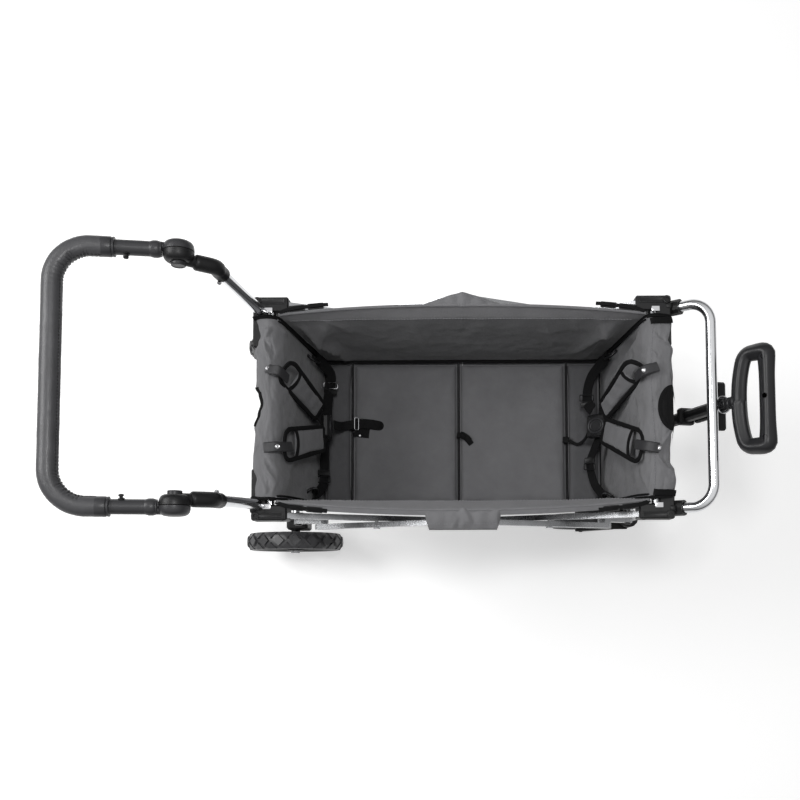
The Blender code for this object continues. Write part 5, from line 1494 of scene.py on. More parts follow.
@dataclass
class Harness:
    """A five-point harness: shoulder pads, tabs with snaps, waist webbing, adjusters and crotch strap."""

    bench: Workbench
    end: End
    webbing: float = 0.0024
    tab_pitch: float = 0.0035
    tab_thread: float = 0.0005
    tab_seam: float = 0.0090

    def build(self) -> None:
        """Makes the whole harness of one end."""
        for pad in self.shoulder_pads():
            self.pad_body(pad)
            self.pad_binding(pad)
            self.pad_tab(pad)
        self.waist()
        self.crotch()
        self.buckle()

    def fix(self, obj: Piece, finish: Finish, slot: str, replaces: Iterable[str] = ()) -> None:
        """Mounts a piece that stays with this end's frame."""
        self.bench.mount(obj, self.end.body, finish, slot, replaces)

    def shoulder_pads(self) -> list[ShoulderPad]:
        """The two pads of this end, as the photograph shows them lying."""
        if self.end is End.REAR:
            return [
                ShoulderPad(
                    "rear_far",
                    ((-0.3980, 0.0600, 0.6720), (-0.3700, 0.1090, 0.6520)),
                    ((-0.3550, 0.0135, 0.4550), (-0.3340, 0.0555, 0.4400)),
                    ((-0.4110, 0.0810, 0.6770), (-0.3964, 0.0767, 0.6860), (-0.3840, 0.0739, 0.6830),
                     (-0.3754, 0.0670, 0.6420)),
                    (1.0, 0.0, 0.75), 0.27, 0.03,
                ),
                ShoulderPad(
                    "rear_near",
                    ((-0.3860, -0.0415, 0.6430), (-0.3855, -0.1155, 0.6430)),
                    ((-0.3346, -0.0040, 0.4550), (-0.3323, -0.0625, 0.4450)),
                    ((-0.4177, -0.0867, 0.6770), (-0.3950, -0.0852, 0.6790), (-0.3800, -0.0834, 0.6630),
                     (-0.3686, -0.0775, 0.6280)),
                    (1.0, 0.0, 0.55), 0.27, 0.38,
                ),
            ]
        return [
            ShoulderPad(
                "front_far",
                ((0.4035, 0.0780, 0.6640), (0.3590, 0.1070, 0.6470)),
                ((0.3440, 0.0105, 0.4550), (0.3315, 0.0535, 0.4400)),
                ((0.4133, 0.0818, 0.6770), (0.3896, 0.0754, 0.6830), (0.3795, 0.0705, 0.6790),
                 (0.3731, 0.0677, 0.6380)),
                (-1.0, 0.0, 0.75), 0.25, 0.42,
            ),
            ShoulderPad(
                "front_near",
                ((0.3935, -0.0510, 0.6460), (0.3805, -0.1240, 0.6460)),
                ((0.3436, 0.0095, 0.4550), (0.3334, -0.0475, 0.4450)),
                ((0.4122, -0.0911, 0.6770), (0.3965, -0.0890, 0.6810), (0.3839, -0.0854, 0.6710),
                 (0.3718, -0.0763, 0.6300)),
                (-1.0, 0.0, 0.60), 0.27, 0.03,
            ),
        ]

    def pad_body(self, pad: ShoulderPad) -> None:
        """The padded cloth between the bindings: blown up flat, then laid where the pad hangs."""
        length, width = pad.size
        run = length * (1.0 - pad.bar)
        slab = moulded_block(
            f"{pad.name}_shoulder_pad", Vector(), Vector((run, width - 0.010, 0.0065)), 0.0028
        )
        settle(slab)
        Inflation(voxel=0.0026, cap=0.0030, frames=14).swell(slab)
        for vert in slab.data.vertices:
            s = pad.bar + (vert.co.x / run + 0.5) * (1.0 - pad.bar)
            t = vert.co.y / width + 0.5
            dimple = slack(vert.co.x, vert.co.y, 0.0018, 0.024, length * 40)
            vert.co = pad.spot(s, t, 0.0045 + vert.co.z + dimple * (1 if vert.co.z > 0 else 0.2))
        bm = bmesh.new()
        bm.from_mesh(slab.data)
        bmesh.ops.recalc_face_normals(bm, faces=bm.faces)
        bm.to_mesh(slab.data)
        bm.free()
        bake_modifier(slab, "SUBSURF", {"levels": 1, "render_levels": 1})
        replaced = [f"{self.end.word}_harness"] if pad.name.endswith("far") else []
        self.fix(slab, PAD_CLOTH, "grey_fabric", replaced)

    def pad_binding(self, pad: ShoulderPad) -> None:
        """The black binding: a loop round the open head and down both sides, and the cloth's top bar."""
        outline = [
            (1.02, 0.70), (1.00, 0.94), (0.72, 0.97), (0.30, 0.97), (0.12, 0.96), (0.03, 0.84), (0.00, 0.62),
            (0.00, 0.38), (0.03, 0.16), (0.12, 0.04), (0.30, 0.03), (0.72, 0.03), (1.00, 0.06), (1.02, 0.30),
        ]
        places = [pad.spot(s, t, 0.0035) for s, t in outline]
        loop = smooth_line(places, 0.004, closed=True)
        loop.append(loop[0].copy())
        tape = tape_along("tape", loop, [pad.face], 0.0100, 0.0052)
        welt = tube_along("welt", [p + pad.face * 0.0046 for p in loop[:-1]], 0.0013, 6, closed=True)
        bar_line = [
            pad.spot(pad.bar + 0.03 * (1 - 4 * (t - 0.5) ** 2), t, 0.0070 - 0.004 * (2 * t - 1) ** 2)
            for t in steps(12, 0.05, 0.9)
        ]
        bar = tape_along("bar", bar_line, [pad.face], 0.0080, 0.0048)
        binding = merged(f"{pad.name}_pad_binding", [tape, welt, bar])
        self.fix(binding, BINDING, "webbing")

        e = self.end.value
        low = pad.spot(1.06, 0.5, 0.0)
        buckle = Vector((e * 0.3270, 0.008, 0.424))
        lane = [pad.spot(0.90, 0.5, -0.0015), low, low.lerp(buckle, 0.6), buckle]
        looks = pad.face + Vector((0, 0, 0.6))
        strap = tape_along(f"{pad.name}_strap", smooth_line(lane, 0.006), [looks], 0.027, self.webbing)
        self.fix(strap, TAPE, "webbing")

    def pad_tab(self, pad: ShoulderPad) -> None:
        """The stitched tab: from the wall over the head's binding and down through its opening."""
        e = self.end.value
        points = vectors(*pad.tab)
        start, end = points[0], points[-1]
        lane = smooth_line(points, 0.0035)
        way = Vector((-e * 0.55, 0, 1)).normalized()
        tab = tape_along(f"{pad.name}_tab", lane, [way], 0.0215, 0.0028)
        self.fix(tab, TAB_HIDE, "leather")
        along = (end - start).normalized()
        across = way.cross(along).normalized()
        rows = []
        for side in (1, -1):
            edge = [p + across * side * self.tab_seam + way * 0.0027 for p in lane[: int(len(lane) * 0.8)]]
            rows.append(stitches("row", edge, self.tab_pitch, self.tab_thread, way * self.tab_thread))
        head = [lane[1] + across * (self.tab_seam * k / 4) + way * 0.0029 for k in range(-4, 5)]
        rows.append(stitches("row", head, self.tab_pitch, self.tab_thread, way * self.tab_thread))
        border = merged(f"{pad.name}_tab_stitches", rows)
        self.fix(border, DARK_THREAD, "leather")
        seat = lane[min(len(lane) - 1, int(len(lane) * pad.snap))] + way * 0.0022
        snap = turned_piece(
            f"{pad.name}_snap",
            [(0.0056, 0.0), (0.0056, 0.4), (0.0048, 0.8), (0.0032, 1.0), (0.0024, 0.85), (0.0004, 0.8)],
            seat, seat + way * 0.0030, 24,
        )
        self.fix(snap, STEEL, "steel")

    def waist_routes(self) -> dict[Hand, tuple[list[Point], Point, Point, float]]:
        """For each side: the webbing's route, its ring's middle, its adjuster's middle and its width."""
        if self.end is End.REAR:
            return {
                Hand.LEFT: (
                    [(-0.3253, 0.0240, 0.4080), (-0.3295, 0.0757, 0.3650), (-0.3277, 0.1147, 0.3450),
                     (-0.3268, 0.1450, 0.3420), (-0.3400, 0.1600, 0.3800), (-0.3500, 0.1665, 0.4150)],
                    (-0.3560, 0.1640, 0.4300), (-0.3277, 0.1147, 0.3470), 0.029,
                ),
                Hand.RIGHT: (
                    [(-0.3310, -0.0140, 0.4080), (-0.3370, -0.0560, 0.3660), (-0.3400, -0.0900, 0.3500),
                     (-0.3430, -0.1300, 0.3470), (-0.3500, -0.1540, 0.3850), (-0.3560, -0.1600, 0.4180)],
                    (-0.3588, -0.1614, 0.4300), (-0.3425, -0.1180, 0.3510), 0.026,
                ),
            }
        return {
            Hand.LEFT: (
                [(0.3130, 0.0400, 0.4050), (0.3060, 0.0650, 0.3680), (0.3100, 0.1050, 0.3460),
                 (0.3218, 0.1380, 0.3450), (0.3400, 0.1600, 0.3850), (0.3500, 0.1690, 0.4160)],
                (0.3545, 0.1705, 0.4300), (0.3060, 0.0770, 0.3640), 0.029,
            ),
            Hand.RIGHT: (
                [(0.3300, -0.0200, 0.4080), (0.3180, -0.0560, 0.3640), (0.3120, -0.0850, 0.3470),
                 (0.3230, -0.1300, 0.3430), (0.3340, -0.1580, 0.3820), (0.3410, -0.1700, 0.4160)],
                (0.3445, -0.1765, 0.4300), (0.3130, -0.0900, 0.3500), 0.022,
            ),
        }

    def waist(self) -> None:
        """The waist webbing on both sides, from the buckle over the floor's corner to its ring."""
        e = self.end.value
        for hand, (route, ring_at, wire_at, width) in self.waist_routes().items():
            s = hand.value
            line = smooth_line(vectors(*route), 0.006)
            looks = Vector((-e * 0.9, 0, 1.0))
            strap = tape_along(f"{self.end.word}_waist_{hand.word}", line, [looks], width, self.webbing)
            self.fix(strap, TAPE, "webbing")
            facing = looks.normalized()
            adjuster = wire_loop(
                f"{self.end.word}_waist_wire_{hand.word}", Vector(wire_at) + facing * 0.0035,
                Vector((0.0, 0.0075, 0.0)), width / 2 + 0.0025, 0.003, 0.0014,
            )
            bright = self.end is End.REAR and hand is Hand.LEFT
            self.fix(adjuster, STEEL if bright else PLASTIC, "steel")
            slide = moulded_block(
                f"{self.end.word}_slider_{hand.word}",
                Vector(wire_at) + Vector((0, -s * 0.016, 0)) + facing * 0.0030,
                Vector((width + 0.006, 0.014, 0.006)), 0.0018,
                Matrix.Rotation(e * math.radians(-40), 4, "Y"), 0.002,
            )
            self.fix(slide, PLASTIC, "black_plastic")
            centre = Vector(ring_at)
            wide = Vector((e * 0.0130, s * 0.0075, 0.0105))
            tall = Vector((-e * 0.0040, -s * 0.0095, 0.0220))
            ring_line = [centre + wide * math.cos(a) + tall * math.sin(a) for a in circle(28)]
            ring = tube_along(f"{self.end.word}_ring_{hand.word}", ring_line, 0.0033, 10, closed=True)
            self.fix(ring, PLASTIC, "black_plastic")
            # A bright steel strip on one arc of the black ring: a painted highlight, the ring's glint.
            lift = Vector((-e * 0.0012, 0, 0.0028))
            glint = [p + lift for p in (ring_line[1:7] if s > 0 else ring_line[8:14])]
            painted_glint_strip = tube_along(f"{self.end.word}_ring_wire_{hand.word}", glint, 0.0016, 8)
            self.fix(painted_glint_strip, STEEL, "steel")

    def crotch(self) -> None:
        """The crotch strap, from the buckle down to the floor pad, with its adjuster and patch."""
        e = self.end.value
        board = f"{self.end.word}_board"
        if self.end is End.REAR:
            points = [(-0.3120, 0.0100, 0.3920), (-0.3027, 0.0125, 0.3560), (-0.2950, 0.0170, 0.3300),
                      (-0.2757, 0.0210, 0.3240), (-0.2640, 0.0225, 0.3235)]
            width = 0.0225
        else:
            points = [(0.3080, 0.0000, 0.3920), (0.3040, -0.0160, 0.3600), (0.2960, -0.0260, 0.3300),
                      (0.2820, -0.0300, 0.3230), (0.2640, -0.0200, 0.3210)]
            width = 0.0080
        line = smooth_line(vectors(*points), 0.005)
        looks = Vector((-e * 0.6, 0, 1))
        strap = tape_along(f"{self.end.word}_crotch_strap", line, [looks], width, self.webbing)
        self.bench.mount(strap, None, TAPE, "webbing")
        self.bench.spot(e * 0.290, 0.324)
        self.bench.spot(e * 0.264, 0.319)
        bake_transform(strap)
        if self.end is End.FRONT:
            tail = vectors((0.2640, -0.0200, 0.3220), (0.2560, -0.0185, 0.3190), (0.2500, -0.0180, 0.3160))
            patch = tape_along("front_crotch_patch", smooth_line(tail, 0.003), [UP], 0.016, 0.0028)
            self.bench.mount(patch, board, TAPE, "webbing")
            return
        patch_line = vectors(
            (-0.2675, 0.0170, 0.3165), (-0.2560, 0.0140, 0.3165), (-0.2420, 0.0115, 0.3165),
            (-0.2320, 0.0105, 0.3165),
        )
        patch = tape_along("patch", patch_line, [UP], 0.046, self.webbing)
        flap_line = vectors(
            (-0.2680, 0.0225, 0.3225), (-0.2500, 0.0235, 0.3245), (-0.2300, 0.0225, 0.3220),
            (-0.2150, 0.0205, 0.3180), (-0.2085, 0.0195, 0.3160),
        )
        flap = tape_along("flap", smooth_line(flap_line, 0.004), [UP], 0.0245, 0.0026)
        tip = turned_piece(
            "tip", [(0.0122, 0.0), (0.0122, 0.6), (0.0110, 1.0), (0.0004, 1.0)],
            Vector((-0.2085, 0.0195, 0.3145)), Vector((-0.2085, 0.0195, 0.3174)), 28,
        )
        patch = merged("rear_crotch_patch", [patch, flap, tip])
        self.bench.mount(patch, board, TAPE, "webbing")
        at, half = Vector((-0.2640, 0.0235, 0.3275)), Vector((0.0050, 0, 0))
        loop = wire_loop("rear_crotch_wire", at, half, 0.0150, 0.002, 0.0013)
        self.bench.mount(loop, board, STEEL, "steel")
        glint = turned_piece(
            "rear_patch_rivet", [(0.0036, 0.0), (0.0036, 0.5), (0.0020, 1.0), (0.0004, 1.0)],
            Vector((-0.2560, -0.0055, 0.3186)), Vector((-0.2560, -0.0055, 0.3220)), 16,
        )
        self.bench.mount(glint, board, STEEL, "steel")

    def buckle(self) -> None:
        """The buckle's looks: ribbed grips on its ends and two raised rings round its oval button."""
        e = self.end.value
        tilt = 0.0 if self.end is End.REAR else math.radians(45)
        low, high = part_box(f"{self.end.word}_buckle")
        centre = (low + high) / 2 - self.bench.middle
        out = Vector((-e * math.cos(tilt), 0, math.sin(tilt)))
        up = Vector((e * math.sin(tilt), 0, math.cos(tilt)))
        turn = Matrix((out, Vector((0, -e, 0)), up)).transposed().to_4x4()
        ribs = []
        for s in (1, -1):
            for k in range(4):
                spot = centre + Vector((0, s * (0.0185 + 0.0028 * k), 0)) + out * 0.0088
                size = Vector((0.0030, 0.0014, 0.034 - 0.004 * k))
                ribs.append(moulded_block("rib", spot, size, 0.0005, turn))
        grips = merged(f"{self.end.word}_buckle_ribs", ribs)
        self.fix(grips, GRIP_PLASTIC, "black_plastic")
        rings = []
        for wide, tall, thick in ((0.0170, 0.0215, 0.0024), (0.0110, 0.0155, 0.0018)):
            line = [
                centre + out * 0.0093 + Vector((0, wide * math.cos(a), 0)) + up * (tall * math.sin(a))
                for a in circle(40)
            ]
            rings.append(tube_along("ring", line, thick, 8, closed=True))
        bezel = merged(f"{self.end.word}_buckle_bezel", rings)
        self.fix(bezel, TUBE_PLASTIC, "black_plastic")


@dataclass
class CornerStraps:
    """The straps and quick-release clips that hold the cloth to the frame near the four brackets."""

    bench: Workbench

    def build(self) -> None:
        """Makes the clips at all four corners and the two ribbed straps over the front rail."""
        for end in End:
            for hand in Hand:
                self.clips(end, hand)
        for hand in Hand:
            self.rail_strap(hand)

    def clips(self, end: End, hand: Hand) -> None:
        """Two clips and the tape that ties them to the rim, between bracket and wall."""
        e, s = end.value, hand.value
        turn = Matrix.Rotation(-e * s * math.radians(5), 4, "Z")
        size = Vector((0.034, 0.0125, 0.0070))
        pieces = [
            moulded_block("clip", Vector((e * x, s * y, 0.6680)), size, 0.0018, turn, 0.0018)
            for x, y in ((0.352, 0.2130), (0.312, 0.2175))
        ]
        clip = merged(f"{end.word}_clips_{hand.word}", pieces)
        self.bench.mount(clip, end.body, PLASTIC, "black_plastic")
        points = vectors(
            (e * 0.3940, s * 0.2010, 0.6660), (e * 0.3740, s * 0.2085, 0.6700),
            (e * 0.3500, s * 0.2130, 0.6725), (e * 0.3300, s * 0.2160, 0.6690),
            (e * 0.3120, s * 0.2180, 0.6725), (e * 0.2850, s * 0.2205, 0.6690),
        )
        line, looks = smooth_line(points, 0.006), [Vector((0, s * 0.3, 1))]
        tape = tape_along(f"{end.word}_tie_{hand.word}", line, looks, 0.009, 0.0018)
        self.bench.mount(tape, end.body, TAPE, "webbing")

    def rail_strap(self, hand: Hand) -> None:
        """A ribbed hook-and-loop strap over the front rail, beside the corner."""
        s = hand.value
        y = 0.1825 if hand is Hand.LEFT else -0.1850
        points = vectors(
            (0.4000, y - s * 0.0020, 0.6725), (0.4080, y - s * 0.0005, 0.6745), (0.4240, y, 0.6745),
            (0.4380, y, 0.6725), (0.4465, y + s * 0.0015, 0.6690),
        )
        line = smooth_line(points, 0.0025)
        strap = tape_along("strap", line, [UP], 0.0135, 0.0024)
        ribs = []
        for k in range(2, len(line) - 2):
            spot = line[k] + Vector((0, 0, 0.0026))
            ribs.append(moulded_block("rib", spot, Vector((0.0010, 0.0115, 0.0010)), 0.0003))
        ribbed = merged(f"front_rail_strap_{hand.word}", [strap, *ribs])
        self.bench.mount(ribbed, "front_frame", TAPE, "webbing")


@dataclass
class RearWheel:
    """A foamed tyre with a diamond tread, on its spoked rim."""

    bench: Workbench
    hand: Hand
    radius: float = 0.1268
    width: float = 0.045
    blocks: int = 18
    groove: float = 0.0048
    depth: float = 0.0052
    spin_steps: int = 96
    tread_edge: float = 0.86
    corner_share: float = 1.6
    block_top: float = 0.90

    def build(self) -> None:
        """Makes the tyre from its carcass and its tread, and gives the rim its finish."""
        low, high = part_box(f"rear_tyre_{self.hand.word}")
        centre = (low + high) / 2 - self.bench.middle
        base = self.radius - self.depth
        half = self.width / 2
        section = [
            (base, 0.0), (base - 0.0007, 0.55), (base - 0.0030, 0.78), (base - 0.0068, 0.93),
            (0.111, 1.0), (0.106, 0.94), (0.102, 0.70),
        ]
        profile = [(r, -half * share) for r, share in reversed(section[1:])]
        profile += [(r, half * share) for r, share in section]
        bm = bmesh.new()
        verts = [bm.verts.new((r, y, 0.0)) for r, y in profile]
        for a, b in zip(verts, verts[1:]):
            bm.edges.new((a, b))
        bm.edges.new((verts[-1], verts[0]))
        carcass = from_bmesh("carcass", bm)
        select_only(carcass)
        bpy.ops.object.mode_set(mode="EDIT")
        bpy.ops.mesh.select_all(action="SELECT")
        bpy.ops.mesh.spin(steps=self.spin_steps, angle=2 * math.pi, center=(0, 0, 0), axis=(0, 1, 0))
        bpy.ops.mesh.select_all(action="SELECT")
        bpy.ops.mesh.remove_doubles(threshold=0.0001)
        bpy.ops.mesh.normals_make_consistent(inside=False)
        bpy.ops.object.mode_set(mode="OBJECT")
        tread = self.tread(base)
        tyre = merged(f"rear_tyre_rubber_{self.hand.word}", [carcass, tread])
        tyre.data.transform(Matrix.Translation(centre))
        body = f"rear_wheel_{self.hand.word}"
        self.bench.mount(tyre, body, RUBBER, "rubber", [f"rear_tyre_{self.hand.word}"])
        self.bench.dress(PLASTIC, f"rear_rim_{self.hand.word}")

    def tread(self, base: float) -> Piece:
        """Diamond blocks round the middle and triangles between them, cut by crossing grooves."""
        step = 2 * math.pi / self.blocks
        half_angle = step / 2
        half = self.width / 2
        gap = self.groove / 2
        gap_angle = gap / base * 1.4
        bm = bmesh.new()

        def patch(corners: list[tuple[float, float]], turn: float) -> None:
            """One raised block from corners given as angle and share of the half width."""

            def spot(angle: float, share: float, rise: float) -> Vector:
                """A point over the tread's own curve."""
                drop = 0.0090 * max(0.0, abs(share) - 0.42) ** 2 / 0.30
                r = base - drop + rise
                return Vector((r * math.cos(angle + turn), share * half, r * math.sin(angle + turn)))

            middle_a = sum(a for a, _ in corners) / len(corners)
            middle_s = sum(h for _, h in corners) / len(corners)
            low = [bm.verts.new(spot(a, h, -0.002)) for a, h in corners]
            top = []
            for a, h in corners:
                angle = middle_a + (a - middle_a) * self.block_top
                share = middle_s + (h - middle_s) * self.block_top
                top.append(bm.verts.new(spot(angle, share, self.depth)))
            count = len(corners)
            for j in range(count):
                i = (j + 1) % count
                bm.faces.new((low[j], low[i], top[i], top[j]))
            bm.faces.new(top)

        inner = gap / half * self.corner_share
        reach = self.tread_edge - inner
        wide = half_angle - gap_angle * self.corner_share
        for k in range(self.blocks):
            turn = k * step
            patch([(-wide, 0.0), (-wide / 2, -reach / 2), (0.0, -reach), (wide / 2, -reach / 2),
                   (wide, 0.0), (wide / 2, reach / 2), (0.0, reach), (-wide / 2, reach / 2)], turn)
            for side in (1, -1):
                patch([(half_angle, side * inner), (half_angle + wide * 0.95, side * 0.97),
                       (half_angle, side * 0.99), (half_angle - wide * 0.95, side * 0.97)], turn)
        bmesh.ops.recalc_face_normals(bm, faces=bm.faces)
        return from_bmesh("tread", bm)


@dataclass
class PushHandle:
    """The push handle: tube, collars and hubs, stitched sleeve, snap buttons and the fixed elbows."""

    bench: Workbench
    elbow_x: float = 0.515
    elbow_z: float = 0.957
    tube_y: float = 0.2345
    grip_x: float = 0.7285
    grip_z: float = 0.992
    bend: float = 0.066
    start_x: float = 0.6455
    radius: float = 0.0184
    tube: float = 0.0138
    hub: float = 0.0280
    half_hub: float = 0.0195
    sleeve_sides: int = 28
    wrinkle_pitch: float = 0.0082
    stitch_pitch: float = 0.0062
    button_x: float = 0.603

    def height(self, x: float) -> float:
        """The tube's height at a distance behind the basket's middle."""
        rise, run = self.grip_z - self.elbow_z, self.grip_x - self.elbow_x
        return self.elbow_z + rise * (x - self.elbow_x) / run

    def centre_line(self, start: float, step: float) -> list[Vector]:
        """The middle of the U-shaped tube, with round bends, from one side to the other."""
        corner = Vector((-self.grip_x, self.tube_y, self.grip_z))
        begin = Vector((-start, self.tube_y, self.height(start)))
        back = (begin - corner).normalized()
        inward = Vector((0, -1, 0))
        bend_start = corner + back * self.bend
        count = max(2, round((bend_start - begin).length / step))
        line = [begin.lerp(bend_start, t) for t in steps(count)[:-1]]
        hub = corner + back * self.bend + inward * self.bend
        for a in steps(max(6, round(self.bend * math.pi / 2 / step)), 0.0, math.pi / 2):
            line.append(hub - inward * self.bend * math.cos(a) - back * self.bend * math.sin(a))
        middle = Vector((-self.grip_x, 0, self.grip_z))
        last = line[-1]
        count = max(2, round((middle - last).length / step))
        line += [last.lerp(middle, t) for t in steps(count)[1:]]
        mirror = [Vector((p.x, -p.y, p.z)) for p in reversed(line[:-1])]
        return line + mirror

    def build(self) -> None:
        """Makes the sleeve with its seam, the arms, and each side's button and elbow."""
        line = self.centre_line(self.start_x, 0.0035)
        total = sum((b - a).length for a, b in zip(line, line[1:]))
        first = self.grip_x - self.start_x - self.bend + self.bend * math.pi / 4
        bends = [first, total - first]

        def swell(length: float, side: int) -> float:
            """Fine wrinkles, deepest inside the bends, and a slightly thicker end."""
            a = 2 * math.pi * side / self.sleeve_sides
            near = sum(math.exp(-(((length - b) / 0.060) ** 2)) for b in bends)
            inside = 0.5 - 0.5 * math.cos(a)
            ripple = length * 2 * math.pi / self.wrinkle_pitch
            wrinkle = math.sin(ripple + 1.5 * math.sin(length * 61 + a * 1.3))
            fine = noise.noise(Vector((length * 60, math.cos(a) * 1.5, math.sin(a) * 1.5)))
            return wrinkle * (0.00010 + 0.0012 * near * inside**1.5) + fine * 0.0004

        sleeve = tube_along("grip_sleeve", line, self.radius, self.sleeve_sides, swell=swell)
        self.bench.mount(sleeve, "push_handle", HIDE, "leather", ["leather_grip"])
        inner = []
        for k, here in enumerate(line):
            before, after = line[max(0, k - 1)], line[min(len(line) - 1, k + 1)]
            along = (after - before).normalized()
            side = UP.cross(along).normalized()
            inner.append(here + (side * 0.94 + Vector((0, 0, 0.34))).normalized() * (self.radius + 0.0002))
        row = stitches("grip_stitches", inner, self.stitch_pitch, 0.0008, Vector((0, 0, 0.0008)))
        self.bench.mount(row, "push_handle", DARK_THREAD, "leather")
        seam = tube_along("grip_seam", [p - Vector((0, 0, 0.0016)) for p in inner], 0.0011, 6)
        self.bench.mount(seam, "push_handle", HIDE, "leather")
        self.arms()
        for hand in Hand:
            self.snap_button(hand)
            self.socket(hand)

    def arms(self) -> None:
        """The U-shaped tube with, on each side, its collar beside the sleeve and its moulded hub."""
        pieces = [tube_along("tube", self.centre_line(self.elbow_x + 0.0290, 0.012), self.tube, 32)]
        for hand in Hand:
            s = hand.value
            pivot = Vector((-self.elbow_x, s * self.tube_y, self.elbow_z))
            begin = Vector((-self.start_x - 0.004, s * self.tube_y, self.height(self.start_x + 0.004)))
            way = (begin - pivot).normalized()
            rings = [
                (0.0155, 0.0), (0.0177, 0.0006), (0.0184, 0.0030), (0.0184, 0.0190), (0.0178, 0.0205),
                (0.0162, 0.0210), (0.0162, 0.0224), (0.0180, 0.0229), (0.0180, 0.0255), (0.0150, 0.0266),
            ]
            profile = [(r, z / 0.1) for r, z in rings]
            pieces.append(turned_piece("collar", profile, begin, begin - way * 0.1, 40))
            neck_at = Vector((0, s * 0.0060, 0))
            pieces.append(tube_along("neck", [pivot + neck_at, pivot + neck_at + way * 0.036], 0.0078, 24))
            root = [
                (0.0105, 0.0), (0.0140, 0.03), (0.0156, 0.08), (0.0156, 0.15), (0.0136, 0.22), (0.0120, 0.24)
            ]
            pieces.append(turned_piece("root", root, pivot + way * 0.0286, pivot + way * 0.1286, 32))
            start = Vector((-self.elbow_x, s * 0.2323, self.elbow_z))
            half = [
                (self.hub - 0.001, 0.0), (self.hub, 0.03), (self.hub - 0.0002, 0.32),
                (self.hub - 0.0014, 0.58), (self.hub - 0.0042, 0.78), (self.hub - 0.0092, 0.92),
                (0.0110, 0.985), (0.0004, 1.0),
            ]
            pieces.append(turned_piece("hub", half, start, start + Vector((0, s * self.half_hub, 0)), 48))
        made = merged("push_arms", pieces)
        self.bench.mount(made, "push_handle", TUBE_PLASTIC, "black_plastic", ["push_handle_frame"])

    def socket(self, hand: Hand) -> None:
        """The fixed half of one elbow: its moulded disc, and the sleeve that holds the upright's top."""
        s = hand.value
        start = Vector((-self.elbow_x, s * 0.2317, self.elbow_z))
        half = [
            (self.hub - 0.001, 0.0), (self.hub, 0.03), (self.hub - 0.0002, 0.30), (self.hub - 0.0012, 0.58),
            (self.hub - 0.0034, 0.80), (self.hub - 0.0064, 0.94), (0.0185, 1.0), (0.0146, 1.0),
            (0.0142, 0.96), (0.0142, 0.44), (0.0004, 0.44),
        ]
        disc = turned_piece("disc", half, start, start - Vector((0, s * self.half_hub, 0)), 48)
        top, bend = hand.place(*POST_TOP), hand.place(*POST_BEND)
        aim = (top - bend).normalized()
        joint = Vector((-self.elbow_x, s * 0.2195, self.elbow_z))
        knee = top + aim * 0.030
        out = (knee - joint).normalized()
        neck = tube_along("neck", [joint, joint + out * 0.036], 0.0108, 24)
        line = smooth_line([joint + out * 0.0288, knee, top + aim * 0.010, top - aim * 0.012], 0.003)
        total = sum((b - a).length for a, b in zip(line, line[1:]))

        def swell(run: float, _: int) -> float:
            """The sleeve's rounded ends."""
            return -0.0035 * (max(0.0, 1 - run / 0.005) ** 2 + max(0.0, 1 - (total - run) / 0.004) ** 2)

        sleeve = tube_along("sleeve", line, 0.0148, 36, swell=swell)
        made = merged(f"elbow_socket_{hand.word}", [disc, neck, sleeve])
        self.bench.mount(made, "rear_frame", PLASTIC, "black_plastic", [f"elbow_base_{hand.word}"])
        seat = Vector((-self.elbow_x, s * 0.2190, self.elbow_z))
        rings = [
            (0.0130, 0.0), (0.0130, 0.62), (0.0134, 0.64), (0.0134, 0.76), (0.0124, 0.78), (0.0124, 0.82),
            (0.0134, 0.84), (0.0134, 0.92), (0.0122, 1.0), (0.0104, 1.0), (0.0098, 0.95), (0.0004, 0.95),
        ]
        cap = turned_piece(f"elbow_cap_{hand.word}", rings, seat, seat - Vector((0, s * 0.0142, 0)), 40)
        self.bench.mount(
            cap, f"elbow_button_{hand.word}", TUBE_PLASTIC, "black_plastic", [f"elbow_button_{hand.word}"]
        )
        spot = top - aim * 0.004 + Vector((-0.004, -s * 0.0150, -0.002))
        screw = turned_piece(
            f"socket_screw_{hand.word}",
            [(0.0042, 0.0), (0.0042, 0.55), (0.0034, 1.0), (0.0014, 1.0), (0.0012, 0.6), (0.0003, 0.6)],
            spot, spot + Vector((-0.0010, -s * 0.0042, 0.0030)), 20,
        )
        self.bench.mount(screw, "rear_frame", STEEL, "steel")

    def snap_button(self, hand: Hand) -> None:
        """The small spring button on the inner side of the tube, beside the collar."""
        s = hand.value
        x = self.button_x
        seat = Vector((-x, s * (self.tube_y - 0.0115), self.height(x) + 0.0045))
        button = turned_piece(
            f"snap_button_{hand.word}",
            [(0.0058, 0.0), (0.0058, 0.30), (0.0032, 0.36), (0.0030, 0.62), (0.0050, 0.70), (0.0046, 0.92),
             (0.0030, 1.0), (0.0005, 1.0)],
            seat,
            seat + Vector((0, -s * 0.0105, 0.0030)),
            24,
        )
        self.bench.mount(button, "push_handle", PLASTIC, "black_plastic")


